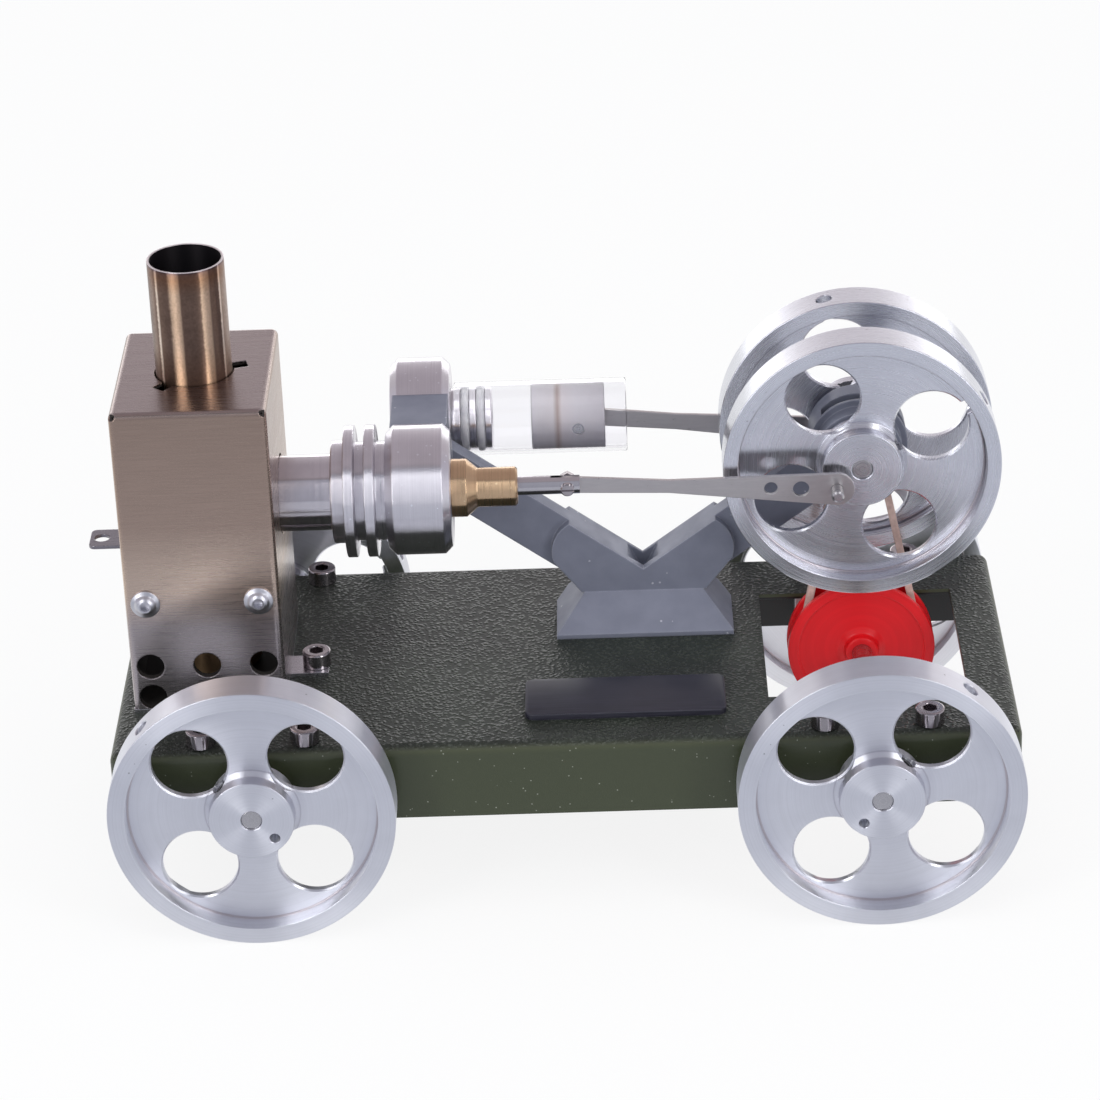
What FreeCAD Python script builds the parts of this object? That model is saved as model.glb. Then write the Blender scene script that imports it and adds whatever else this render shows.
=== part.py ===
import FreeCAD, Part
import math
import os
from FreeCAD import Vector

# A hot-air engine on a four-wheeled chassis. Millimetres, +X along the car towards the
# flywheels, +Y away from the side that carries the name plate, +Z up. The origin is on
# the ground, under the middle of the whole object. Rest is the moment shown: the front
# crank pin below and left of the shaft.

# ---- driving dimensions: chassis and running gear ----
axle_mid_x = 3.2                # middle of the wheelbase
wheelbase = 148.4
track_over_wheels = 118.0       # outer face to outer face
wheel_radius = 34.0
wheel_width = 9.5
wheel_rim_inner_radius = 29.8
wheel_hub_radius = 10.1
wheel_web_depth = 4.3           # outer face down to the web
web_thickness = 2.2
web_hole_radius = 9.0
web_hole_circle = 19.4
web_hole_count = 4
hub_cone = 1.2                  # cone between hub and web
edge_break = 0.4
shaft_radius = 2.5              # both axles and the crankshaft
crank_pin_hole_radius = 1.25
crank_radius = 7.2
pin_hole_depth = 5.5
grub_radius = 2.0
grub_key_radius = 1.0
grub_sunk = 0.6                 # below the hub's surface
free_near_wheel_angle = 46.5    # direction of the first web hole, from +X to +Z
drive_near_wheel_angle = 52.5
free_far_wheel_angle = 20.0
drive_far_wheel_angle = 75.0

chassis_length = 216.4
wheel_gap = 3.5                 # from a wheel's back to the chassis's skirt
deck_height = 45.0
sheet = 1.5
skirt_below_axle = 8.1
bend_radius = 2.5
cutout_from_axle_left = 25.2
cutout_from_axle_right = 22.8
cutout_front_y = -26.7
cutout_back_y = 26.0

axle_block_length = 31.0
axle_block_thickness = 7.0
axle_block_below_axle = 6.02
block_screw_offset = 12.4
block_screw_end_room = 4.0      # from the screw's tip to the block's underside
block_drill_floor = 2.0
bush_radius = 4.5
bush_flange_radius = 6.0
bush_flange = 1.2
spacer_radius = 4.2
axle_end_play = 0.1

cap_screw_radius = 2.0          # the M4 cap screws
cap_head_radius = 3.5
cap_head_height = 4.0
cap_key_radius = 1.6
cap_key_depth = 2.2
cap_head_chamfer = 0.35

name_plate_length = 48.2
name_plate_width = 17.8
name_plate_thickness = 1.5
name_plate_corner = 2.2
name_plate_x = 17.8
name_plate_y = -25.7

# ---- driving dimensions: engine ----
engine_mid_y = 19.4             # plane of the frame and the belt
cylinder_spacing = 38.8
axis_height = 90.5              # cylinders and crankshaft
crank_x = 76.8
flywheel_radius = 33.7
flywheel_width = 9.5
flywheel_rim_inner_radius = 30.1
flywheel_hub_radius = 9.7
flywheel_span = 33.4            # outer face of one to outer face of the other
front_crank_angle = 208.5
rear_crank_angle = 283.0

bearing_outer_radius = 6.5
bearing_width = 4.0
bearing_ring = 1.1
ball_radius = 0.85
ball_count = 8
front_boss_radius = 10.4
rear_boss_radius = 12.0
boss_running_gap = 0.5          # flywheel to crank housing
belt_slot = 3.4
housing_shaft_room = 0.8        # round the shaft between the bearings
bearing_seat_room = 0.2
slot_reach = 9.0                # how far the belt slot reaches past the shaft into the arm

belt_thickness = 1.8
belt_width = 2.0
crank_pulley_floor = 2.95
crank_pulley_lip = 0.5
crank_pulley_bevel = 0.4
crank_pulley_side_gap = 0.2
driven_pulley_floor = 13.8
driven_pulley_radius = 18.4
driven_pulley_width = 7.2
pulley_flange = 1.5
pulley_groove_taper = 0.6
pulley_face_dish = 0.8
pulley_rim_land = 2.6
pulley_boss_radius = 4.4
pulley_boss_base = 7.5
pulley_boss_length = 2.0

arm_width = 12.5
arm_thickness = 5.0
body_thickness = 10.0
body_top_half = 18.0            # half width of the thick body at the top corners
body_side_half = 22.2
body_side_rise = 17.0           # rises are measured from the deck
body_bottom_half = 15.5
body_bulge_out = 1.6            # arc of the bulged side, past its straight chord
body_bulge_up = 1.2
arms_meet_rise = 6.62
base_top_half = 14.7
base_rise = 8.4
base_bottom_half = 21.9
base_front_reach = 13.9         # from the engine's middle plane
base_back_reach = 9.6
base_lip = 1.2
base_back_corner = 5.0          # cut off each back corner
notch_pocket_half = 3.8
notch_pocket_front_wall = 2.2
notch_pocket_back_wall = 0.8
notch_pocket_depth = 5.0
frame_screw_grip = 6.0          # length inside the foot
frame_screw_inset = 4.0
frame_drill_room = 1.0
block_half_height = 11.9
block_left_inset = 0.6          # from the flanges' left faces
block_right_inset = 1.0
cylinder_grub_radius = 1.5
cylinder_grub_offset = 7.0      # from the engine's middle plane
cylinder_grub_bite = 0.6
cylinder_grub_end_room = 0.4
cylinder_grub_tip_room = 0.3

flange_left_x = -37.95
flange_right_x = -22.5
flange_radius = 15.75
flange_chamfer = 1.8
fin_radius = 16.0
fin_thickness = 2.45
fin_gap = 2.55
neck_radius = 12.0
collar_radius = 12.5
collar_length = 3.2
hot_tube_radius = 9.25
hot_tube_wall = 0.75
hot_tube_end_x = -91.2
hot_tube_grip = 13.0            # length held inside the cooler
gasket = 0.5
cooler_front_wall = 3.0
bush_spigot_radius = 5.0
bush_big_radius = 7.05
bush_big_length = 3.65
bush_cone_length = 2.6
bush_small_radius = 4.75
bush_nose_length = 9.65
bush_nose_chamfer = 0.5
displacer_shaft_radius = 2.25
displacer_gap = 0.6
displacer_wall = 0.6
displacer_end_room = 0.8
displacer_shaft_grip = 7.0
displacer_shaft_set_back = 1.0  # shaft's end inside the plug
clevis_pivot_x = 5.4
clevis_tail = 3.0
clevis_slot = 7.0
clevis_screw_radius = 1.0
clevis_head_radius = 1.65
clevis_head = 1.2
clevis_nut_radius = 1.9
clevis_nut = 1.4
clevis_screw_proud = 0.4
clevis_head_chamfer = 0.3
clevis_head_slot_half = 0.25
clevis_head_slot_depth = 0.48

rod_thickness = 1.0
displacer_rod_widths = (4.2, 3.3, 8.4)      # at the small end, the waist and the big end
power_rod_widths = (4.8, 4.2, 8.0)
rod_waist_from_pivot = 24.6
rod_hole_one = (16.0, 1.65)     # distance from the crank pin, radius
rod_hole_two = (8.7, 2.0)
crank_pin_radius = 1.5
crank_pin_collar_radius = 2.5
crank_pin_tail = 4.5
crank_pin_chamfer = 0.5

head_flange_length = 14.7
head_left_x = -38.1
spigot_radius = 7.75
spigot_end_x = -13.2
seal_section = 1.1
seal_land = 1.6                 # plug lands beside each seal ring
glass_outer_radius = 9.2
glass_wall = 1.0
glass_right_x = 20.3
piston_left_x = -3.4
piston_length = 18.3
piston_wall = 1.3
piston_crown = 5.0
wrist_pin_x = 8.2
wrist_pin_radius = 1.5
wrist_pin_end_room = 0.4
seal_groove_room = 0.05
gas_passage_radius = 2.0

# ---- driving dimensions: burner ----
box_mid_x = -82.2
box_mid_y = -1.0
box_length = 37.0
box_depth = 48.0
box_above_axis = 33.8
box_sheet = 1.0
box_bend = 1.6
corner_relief_radius = 1.3
corner_relief_inset = 0.4
tube_hole_gap = 0.6
vent_radius = 3.35
vent_pitch_x = 13.6
vent_low_row = 4.2              # above the deck
vent_high_row = 12.5
cover_screw_below_damper = 3.0
cover_screw_offset = 13.5
cover_screw_radius = 1.5
cover_washer_radius = 3.55
cover_washer = 0.9
cover_head_radius = 2.1
cover_head = 1.1
cover_key_radius = 1.1
cover_key_depth = 1.0
cover_screw_tail = 4.0          # past the tray's upright
doorway_half = 14.0
doorway_below_damper = 1.1
foot_length = 9.2
foot_width = 9.0
foot_y = -5.0
foot_screw_from_end = 3.0
tray_screw_length = 6.0
chimney_radius = 9.1
chimney_wall = 0.6
chimney_above_box = 28.9
chimney_grip = 5.0
chimney_hole_gap = 0.4
chimney_ear_angles = (104.0, 322.0)
chimney_ear_length = 1.8        # past the edge of the hole
chimney_ear_width = 3.0
chimney_ear_thickness = 0.6
notch_angles = (14.0, 232.0)
notch_length = 3.3
notch_width = 3.6
damper_below_tube = 2.75
damper_y = 3.0
damper_width = 9.0
damper_thickness = 0.9
damper_end_x = -111.4
damper_hole_radius = 1.85
damper_hole_from_end = 2.9
damper_corner = 1.5
flame_window_radius = 3.6
shelf_window_radius = 7.0
shelf_margin = 2.0
tank_radius = 11.0
flame_room = 8.6                # wick to damper
tank_round = 1.5
tank_wall = 0.8
tank_neck_depth = 2.0
wick_holder_radius = 3.3
wick_holder_height = 6.5
wick_holder_flange = 1.6
wick_holder_step = 0.4
wick_holder_stub = 3.0
wick_radius = 2.3
wick_proud = 2.5
wick_tip_round = 0.8
wick_above_floor = 2.0

# ---- clearances ----
press = 0.02                    # between pieces of one body that fit together
running = 0.05                  # shafts and sliders
seat_gap = 0.3                  # moving pieces that only meet
belt_gap = 0.2

# ---- places worked out from the dimensions above ----
free_axle_x = axle_mid_x - wheelbase / 2
drive_axle_x = axle_mid_x + wheelbase / 2
wheel_face_y = track_over_wheels / 2
skirt_y = wheel_face_y - wheel_width - wheel_gap
web_hole_pitch = 360 / web_hole_count
chassis_left = axle_mid_x - chassis_length / 2
chassis_right = axle_mid_x + chassis_length / 2
deck_under = deck_height - sheet
axle_block_top = deck_under - press
axle_block_bottom = wheel_radius - axle_block_below_axle
block_y = skirt_y - sheet - press - axle_block_thickness / 2
displacer_y = engine_mid_y - cylinder_spacing / 2
power_y = engine_mid_y + cylinder_spacing / 2
front_face_y = engine_mid_y - flywheel_span / 2
rear_face_y = engine_mid_y + flywheel_span / 2
flange_mid_x = (flange_left_x + flange_right_x) / 2
frame_mid_x = (flange_mid_x + crank_x) / 2
arm_run = (crank_x - flange_mid_x) / 2
arms_meet_z = deck_height + arms_meet_rise
arm_slope = math.atan((axis_height - arms_meet_z) / arm_run)
notch_z = arms_meet_z + arm_width / 2 / math.cos(arm_slope)
base_top_height = deck_height + base_rise
body_side_height = deck_height + body_side_rise
glass_left_x = flange_right_x
glass_bore = glass_outer_radius - glass_wall
hot_tube_bore = hot_tube_radius - hot_tube_wall
boss_front_y = front_face_y + flywheel_width + boss_running_gap
boss_back_y = rear_face_y - flywheel_width - boss_running_gap
box_left = box_mid_x - box_length / 2
box_right = box_mid_x + box_length / 2
box_front = box_mid_y - box_depth / 2
box_back = box_mid_y + box_depth / 2
box_top = axis_height + box_above_axis
chimney_top = box_top + chimney_above_box
tray_top = deck_height + box_sheet
damper_height = axis_height - hot_tube_radius - damper_below_tube - damper_thickness
cover_screw_height = damper_height - cover_screw_below_damper
doorway_top = damper_height - doorway_below_damper
wick_top = damper_height - flame_room
tank_height = wick_top - wick_proud - wick_holder_height - tray_top
crank_pitch = crank_pulley_floor + belt_gap + belt_thickness / 2
driven_pitch = driven_pulley_floor + belt_gap + belt_thickness / 2


def on_circle(x, z, radius, degrees):
    angle = math.radians(degrees)
    return x + radius * math.cos(angle), z + radius * math.sin(angle)


front_pin_x, front_pin_z = on_circle(crank_x, axis_height, crank_radius, front_crank_angle)
rear_pin_x, rear_pin_z = on_circle(crank_x, axis_height, crank_radius, rear_crank_angle)


# ---- shape helpers ----
def block(x0, x1, y0, y1, z0, z1):
    return Part.makeBox(x1 - x0, y1 - y0, z1 - z0, Vector(x0, y0, z0))


def rod_x(y, z, x0, x1, radius):
    return Part.makeCylinder(radius, x1 - x0, Vector(x0, y, z), Vector(1, 0, 0))


def rod_y(x, z, y0, y1, radius):
    return Part.makeCylinder(radius, y1 - y0, Vector(x, y0, z), Vector(0, 1, 0))


def rod_z(x, y, z0, z1, radius):
    return Part.makeCylinder(radius, z1 - z0, Vector(x, y, z0), Vector(0, 0, 1))


def face_of(points):
    corners = [Vector(*p) for p in points]
    return Part.Face(Part.makePolygon(corners + corners[:1]))


def turned(profile, centre, axis):
    """Solid of revolution. profile is a list of (along the axis, radius)."""
    along = Vector(*axis)
    out = Vector(0, 0, 1) if abs(along.z) < 0.5 else Vector(1, 0, 0)
    start = Vector(*centre)
    points = [start + along * a + out * r for a, r in profile]
    face = Part.Face(Part.makePolygon(points + points[:1]))
    return face.revolve(start, along, 360)


def slab_xz(points, y0, y1):
    """Plate with an outline in X and Z, from y0 to y1."""
    return face_of([(x, y0, z) for x, z in points]).extrude(Vector(0, y1 - y0, 0))


def slab_yz(points, x0, x1):
    return face_of([(x0, y, z) for y, z in points]).extrude(Vector(x1 - x0, 0, 0))


def slab_xy(points, z0, z1):
    return face_of([(x, y, z0) for x, y in points]).extrude(Vector(0, 0, z1 - z0))


def joined(shapes):
    whole = shapes[0]
    for shape in shapes[1:]:
        whole = whole.fuse(shape)
    return whole.removeSplitter()


def cut_all(shape, tools):
    for tool in tools:
        shape = shape.cut(tool)
    return shape


def hexagon_z(x, y, z0, z1, flat_radius):
    reach = flat_radius / math.cos(math.pi / 6)
    angles = [math.pi / 3 * k for k in range(6)]
    return slab_xy([(x + reach * math.cos(a), y + reach * math.sin(a)) for a in angles], z0, z1)


def save(name, shapes):
    solids = [solid for shape in shapes for solid in shape.Solids]
    if len(solids) == 1:
        solids[0].exportStep("parts/" + name + ".step")
    else:
        Part.makeCompound(solids).exportStep("parts/" + name + ".step")


# ---- road wheels, flywheels and what holds them ----
def wheel(x, z, face_y, inward, radius, rim_inner, hub, width, first_hole, key_hole, pin_angle):
    """Turned wheel. inward is +1 or -1, the way from its outer face to its back along Y."""
    e = edge_break
    back_web = wheel_web_depth + web_thickness
    bore = shaft_radius + press
    profile = [
        (0, bore), (0, hub - e), (e, hub), (wheel_web_depth - hub_cone, hub),
        (wheel_web_depth, hub + hub_cone), (wheel_web_depth, rim_inner), (e, rim_inner),
        (0, rim_inner + e), (0, radius - e), (e, radius), (width - e, radius),
        (width, radius - e), (width, rim_inner + e), (width - e, rim_inner),
        (back_web, rim_inner), (back_web, hub + e), (back_web + e, hub),
        (width - e, hub), (width, hub - e), (width, bore)]
    body = turned(profile, (x, face_y, z), (0, inward, 0))
    low = min(face_y, face_y + inward * width)
    for k in range(web_hole_count):
        hole_x, hole_z = on_circle(x, z, web_hole_circle, first_hole + web_hole_pitch * k)
        body = body.cut(rod_y(hole_x, hole_z, low - 1, low + width + 1, web_hole_radius))
    pin_x, pin_z = on_circle(x, z, crank_radius, pin_angle)
    pin_low = min(face_y - inward, face_y + inward * pin_hole_depth)
    body = body.cut(rod_y(pin_x, pin_z, pin_low, pin_low + pin_hole_depth + 1, crank_pin_hole_radius))
    drill_start = Vector(x, face_y + inward * width / 2, z)
    reach_x, reach_z = on_circle(0, 0, 1, key_hole)
    drill_way = Vector(reach_x, 0, reach_z)
    return body.cut(Part.makeCylinder(grub_radius + press, radius + 1, drill_start, drill_way))


def grub_screw(x, z, y, direction, hub):
    """Socket grub screw from the shaft's surface to just under the hub's surface."""
    along_x, along_z = on_circle(0, 0, 1, direction)
    along = Vector(along_x, 0, along_z)
    start = shaft_radius + running
    length = hub - start - grub_sunk
    body = Part.makeCylinder(grub_radius, length, Vector(x, y, z) + along * start, along)
    key_depth = length / 2
    key_start = Vector(x, y, z) + along * (start + length - key_depth)
    return body.cut(Part.makeCylinder(grub_key_radius, key_depth + 1, key_start, along))


def road_wheels():
    """Axle x, side, first web hole, and the numbers of the holes that the key and the pin line up with."""
    return {
        "free_wheel_near": (free_axle_x, -1, free_near_wheel_angle, 1, 3),
        "free_wheel_far": (free_axle_x, 1, free_far_wheel_angle, 0, 2),
        "drive_wheel_near": (drive_axle_x, -1, drive_near_wheel_angle, 0, 2),
        "drive_wheel_far": (drive_axle_x, 1, drive_far_wheel_angle, 0, 2)}


def build_running_gear():
    grubs = {free_axle_x: [], drive_axle_x: []}
    for name, (x, side, first, key, pin) in road_wheels().items():
        key_angle = first + web_hole_pitch * key
        save(name, [wheel(
            x, wheel_radius, side * wheel_face_y, -side, wheel_radius, wheel_rim_inner_radius,
            wheel_hub_radius, wheel_width, first, key_angle, first + web_hole_pitch * pin)])
        grub_y = side * (wheel_face_y - wheel_width / 2)
        grubs[x].append(grub_screw(x, wheel_radius, grub_y, key_angle, wheel_hub_radius))
    save("free_wheel_grub_screws", grubs[free_axle_x])
    save("drive_wheel_grub_screws", grubs[drive_axle_x])
    bushes = []
    for name, x in (("free_axle", free_axle_x), ("drive_axle", drive_axle_x)):
        axle_end = wheel_face_y - edge_break
        save(name, [rod_y(x, wheel_radius, -axle_end, axle_end, shaft_radius)])
        save(name + "_spacers", [axle_spacer(x, side) for side in (-1, 1)])
        for side, word in ((-1, "near"), (1, "far")):
            save(name + "_" + word + "_block", [axle_block(x, side)])
            bushes.append(axle_bush(x, side))
    save("axle_bushes", bushes)
    screw_length = axle_block_top - axle_block_bottom - block_screw_end_room
    save("axle_block_screws", [
        cap_screw(x + across, side * block_y, deck_height, screw_length)
        for x in (free_axle_x, drive_axle_x) for side in (-1, 1)
        for across in (-block_screw_offset, block_screw_offset)])


def axle_spacer(x, side):
    inner = skirt_y + bush_flange + axle_end_play
    outer = wheel_face_y - wheel_width - press
    low = min(side * inner, side * outer)
    ring = rod_y(x, wheel_radius, low, low + outer - inner, spacer_radius)
    return ring.cut(rod_y(x, wheel_radius, low - 1, low + outer - inner + 1, shaft_radius + press))


def axle_block(x, side):
    half = axle_block_length / 2
    low = side * block_y - axle_block_thickness / 2
    high = low + axle_block_thickness
    top = axle_block_top
    body = block(x - half, x + half, low, high, axle_block_bottom, top)
    bend = bend_radius - sheet
    outer_y = high if side > 0 else low
    corner = [(outer_y, top), (outer_y - side * bend, top), (outer_y, top - bend)]
    body = body.cut(slab_yz(corner, x - half, x + half))
    body = body.cut(rod_y(x, wheel_radius, low - 1, high + 1, bush_radius + press))
    for across in (-block_screw_offset, block_screw_offset):
        drill_floor = axle_block_bottom + block_drill_floor
        body = body.cut(rod_z(x + across, side * block_y, drill_floor, deck_height, cap_screw_radius + press))
    return body


def axle_bush(x, side):
    inner = block_y - axle_block_thickness / 2
    flange_inner = skirt_y + press
    flange_outer = flange_inner + bush_flange
    profile = [(inner, shaft_radius + running), (inner, bush_radius), (flange_inner, bush_radius),
               (flange_inner, bush_flange_radius), (flange_outer, bush_flange_radius),
               (flange_outer, shaft_radius + running)]
    return turned(profile, (x, 0, wheel_radius), (0, side, 0))


def cap_screw(x, y, seat_z, length):
    """Socket head cap screw standing on seat_z, its shank pointing down."""
    top = seat_z + cap_head_height
    head = rod_z(x, y, seat_z, top, cap_head_radius)
    head = head.makeChamfer(cap_head_chamfer, [max(head.Edges, key=lambda edge: edge.BoundBox.ZMin)])
    body = head.fuse(rod_z(x, y, seat_z - length, seat_z, cap_screw_radius - running))
    return body.cut(hexagon_z(x, y, top - cap_key_depth, top + 1, cap_key_radius))


def upward_screw(x, y, seat_z, length):
    """The same screw from below, its shank pointing up from seat_z."""
    bottom = seat_z - cap_head_height
    body = rod_z(x, y, bottom, seat_z, cap_head_radius)
    body = body.fuse(rod_z(x, y, seat_z, seat_z + length, cap_screw_radius - running))
    return body.cut(hexagon_z(x, y, bottom - 1, bottom + cap_key_depth, cap_key_radius))


# ---- chassis ----
def rounded_tray(left, right, half_width, top, bottom, radius):
    body = block(left, right, -half_width, half_width, bottom, top)
    edges = [e for e in body.Edges if e.BoundBox.ZMax > top - 0.01 and e.BoundBox.ZLength < 0.01]
    edges += [e for e in body.Edges if e.BoundBox.ZLength > 1]
    return body.makeFillet(radius, edges)


def chassis():
    skirt_bottom = wheel_radius - skirt_below_axle
    outer = rounded_tray(chassis_left, chassis_right, skirt_y, deck_height, skirt_bottom, bend_radius)
    inner = rounded_tray(
        chassis_left + sheet, chassis_right - sheet, skirt_y - sheet, deck_under,
        skirt_bottom - 1, bend_radius - sheet)
    cutout = block(
        drive_axle_x - cutout_from_axle_left, drive_axle_x + cutout_from_axle_right,
        cutout_front_y, cutout_back_y, deck_under - 1, deck_height + 1)
    tools = [inner, cutout]
    for x in (free_axle_x, drive_axle_x):
        tools.append(rod_y(x, wheel_radius, -skirt_y - 1, skirt_y + 1, bush_radius + press))
        for side in (-1, 1):
            for across in (-block_screw_offset, block_screw_offset):
                tools.append(deck_hole(x + across, side * block_y))
    for x, y in frame_screw_places() + [tray_screw_place()]:
        tools.append(deck_hole(x, y))
    return cut_all(outer, tools)


def deck_hole(x, y):
    return rod_z(x, y, deck_under - 1, deck_height + 1, cap_screw_radius + press)


def name_plate():
    half_x = name_plate_length / 2
    half_y = name_plate_width / 2
    body = block(
        name_plate_x - half_x, name_plate_x + half_x, name_plate_y - half_y, name_plate_y + half_y,
        deck_height, deck_height + name_plate_thickness)
    upright = [e for e in body.Edges if e.BoundBox.ZLength > 0.5]
    return body.makeFillet(name_plate_corner, upright)


# ---- engine frame ----
def frame_screw_places():
    across = base_top_half - frame_screw_inset
    y = engine_mid_y + (base_back_reach - base_front_reach) / 2
    return [(frame_mid_x - across, y), (frame_mid_x + across, y)]


def arm(side):
    """Straight flat arm from the middle of the V up to the cylinder axis or the crankshaft."""
    along_x = side * math.cos(arm_slope)
    along_z = math.sin(arm_slope)
    half = arm_width / 2
    reach = arm_run / math.cos(arm_slope)
    points = []
    for distance, offset in ((0, -half), (reach, -half), (reach, half), (0, half)):
        points.append((
            frame_mid_x + along_x * distance - along_z * offset * side,
            arms_meet_z + along_z * distance + abs(along_x) * offset))
    y0 = engine_mid_y - arm_thickness / 2
    return slab_xz(points, y0, y0 + arm_thickness)


def frame_body():
    """Thick middle of the V, with bulged sides."""
    top_z = notch_z + body_top_half * math.tan(arm_slope)
    y0 = engine_mid_y - body_thickness / 2

    def at(x, z):
        return Vector(frame_mid_x + x, y0, z)

    bulge_x = (body_top_half + body_side_half) / 2 + body_bulge_out
    bulge_z = (top_z + body_side_height) / 2 + body_bulge_up

    def bulge(side):
        points = [at(side * body_top_half, top_z), at(side * bulge_x, bulge_z)]
        points.append(at(side * body_side_half, body_side_height))
        return Part.Arc(*points).toShape()

    edges = [
        Part.makeLine(at(0, notch_z), at(body_top_half, top_z)),
        bulge(1),
        Part.makeLine(at(body_side_half, body_side_height), at(body_bottom_half, base_top_height)),
        Part.makeLine(at(body_bottom_half, base_top_height), at(-body_bottom_half, base_top_height)),
        Part.makeLine(at(-body_bottom_half, base_top_height), at(-body_side_half, body_side_height)),
        bulge(-1),
        Part.makeLine(at(-body_top_half, top_z), at(0, notch_z))]
    return Part.Face(Part.Wire(edges)).extrude(Vector(0, body_thickness, 0))


def frame_base():
    """Foot: a low upright lip, then a frustum up to the body."""
    def ring(half_x, y0, y1, z):
        corners = [
            Vector(frame_mid_x - half_x, y0, z), Vector(frame_mid_x + half_x, y0, z),
            Vector(frame_mid_x + half_x, y1, z), Vector(frame_mid_x - half_x, y1, z)]
        return Part.makePolygon(corners + corners[:1])

    y0 = engine_mid_y - base_front_reach
    y1 = engine_mid_y + base_back_reach
    lip_top = deck_height + base_lip
    lip = block(frame_mid_x - base_bottom_half, frame_mid_x + base_bottom_half, y0, y1, deck_height, lip_top)
    half_body = body_thickness / 2
    frustum = Part.makeLoft([
        ring(base_bottom_half, y0, y1, lip_top),
        ring(base_top_half, engine_mid_y - half_body, engine_mid_y + half_body, base_top_height)], True, True)
    left = frame_mid_x - base_bottom_half
    right = frame_mid_x + base_bottom_half
    cut = base_back_corner
    plan = [(left, y0), (right, y0), (right, y1 - cut), (right - cut, y1), (left + cut, y1), (left, y1 - cut)]
    return lip.fuse(frustum).common(slab_xy(plan, deck_height - 1, base_top_height + 1))


def notch_pocket():
    """Hollow in the bottom of the V, between a thin front wall and a thin back wall."""
    z = notch_z + notch_pocket_half * math.tan(arm_slope)
    y0 = engine_mid_y - body_thickness / 2 + notch_pocket_front_wall
    y1 = engine_mid_y + body_thickness / 2 - notch_pocket_back_wall
    points = [(frame_mid_x - notch_pocket_half, z), (frame_mid_x + notch_pocket_half, z),
              (frame_mid_x, notch_z - notch_pocket_depth)]
    return slab_xz(points, y0, y1)


def cylinder_block():
    """Saddle between the two cylinders, hollowed to seat their round flanges."""
    x0 = flange_left_x + block_left_inset
    x1 = flange_right_x - block_right_inset
    z0 = axis_height - block_half_height
    body = block(x0, x1, displacer_y, power_y, z0, axis_height + block_half_height)
    for y in (displacer_y, power_y):
        body = body.cut(rod_x(y, axis_height, x0 - 1, x1 + 1, flange_radius + press))
    spans = [s for s in body.Solids if s.BoundBox.YMin < engine_mid_y < s.BoundBox.YMax]
    return spans[0]


def crank_housing():
    front = rod_y(crank_x, axis_height, boss_front_y, engine_mid_y, front_boss_radius)
    rear = rod_y(crank_x, axis_height, engine_mid_y - arm_thickness / 2, boss_back_y, rear_boss_radius)
    return front.fuse(rear)


def housing_cuts():
    wide = bearing_outer_radius + press
    shaft_room = shaft_radius + housing_shaft_room
    reach = rear_boss_radius + 5
    slot = block(
        crank_x - slot_reach, crank_x + reach, engine_mid_y - belt_slot / 2, engine_mid_y + belt_slot / 2,
        axis_height - reach - 10, axis_height + reach)
    seat = bearing_width + bearing_seat_room
    return [
        rod_y(crank_x, axis_height, boss_front_y - 1, boss_front_y + seat, wide),
        rod_y(crank_x, axis_height, boss_back_y - seat, boss_back_y + 1, wide),
        rod_y(crank_x, axis_height, boss_front_y, boss_back_y, shaft_room), slot]


def cylinder_grub_places():
    """Y and top Z of the grub screws that pin each flange from below."""
    offset = cylinder_spacing / 2 - cylinder_grub_offset
    top = axis_height - math.sqrt(flange_radius ** 2 - offset ** 2) + cylinder_grub_bite
    return [(displacer_y + offset, top), (power_y - offset, top)]


def cylinder_grub_tools(radius, extra):
    z0 = axis_height - block_half_height + cylinder_grub_end_room - extra
    return [rod_z(flange_mid_x, y, z0, z + extra, radius) for y, z in cylinder_grub_places()]


def engine_frame():
    whole = joined([
        frame_body(), frame_base(), arm(-1), arm(1), cylinder_block(), crank_housing()])
    tools = [notch_pocket(), gas_passage()] + housing_cuts()
    tools += cylinder_grub_tools(cylinder_grub_radius + press, cylinder_grub_tip_room)
    for y in (displacer_y, power_y):
        tools.append(rod_x(y, axis_height, flange_left_x - 6, flange_right_x + 0.5, flange_radius + press))
    for x, y in frame_screw_places():
        drill_top = deck_height + frame_screw_grip + frame_drill_room
        tools.append(rod_z(x, y, deck_height - 1, drill_top, cap_screw_radius + press))
    return cut_all(whole, tools)


def gas_passage():
    return rod_y(flange_mid_x, axis_height, displacer_y, power_y, gas_passage_radius)


# ---- crankshaft group ----
def flywheel(name):
    front = name == "front_flywheel"
    crank_angle = front_crank_angle if front else rear_crank_angle
    face_y = front_face_y if front else rear_face_y
    first_hole = crank_angle - web_hole_pitch * (2 if front else 3)
    key_angle = first_hole if front else first_hole + web_hole_pitch
    body = wheel(
        crank_x, axis_height, face_y, 1 if front else -1, flywheel_radius, flywheel_rim_inner_radius,
        flywheel_hub_radius, flywheel_width, first_hole, key_angle, crank_angle)
    grub_y = face_y + (1 if front else -1) * flywheel_width / 2
    return body, grub_screw(crank_x, axis_height, grub_y, key_angle, flywheel_hub_radius)


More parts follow.
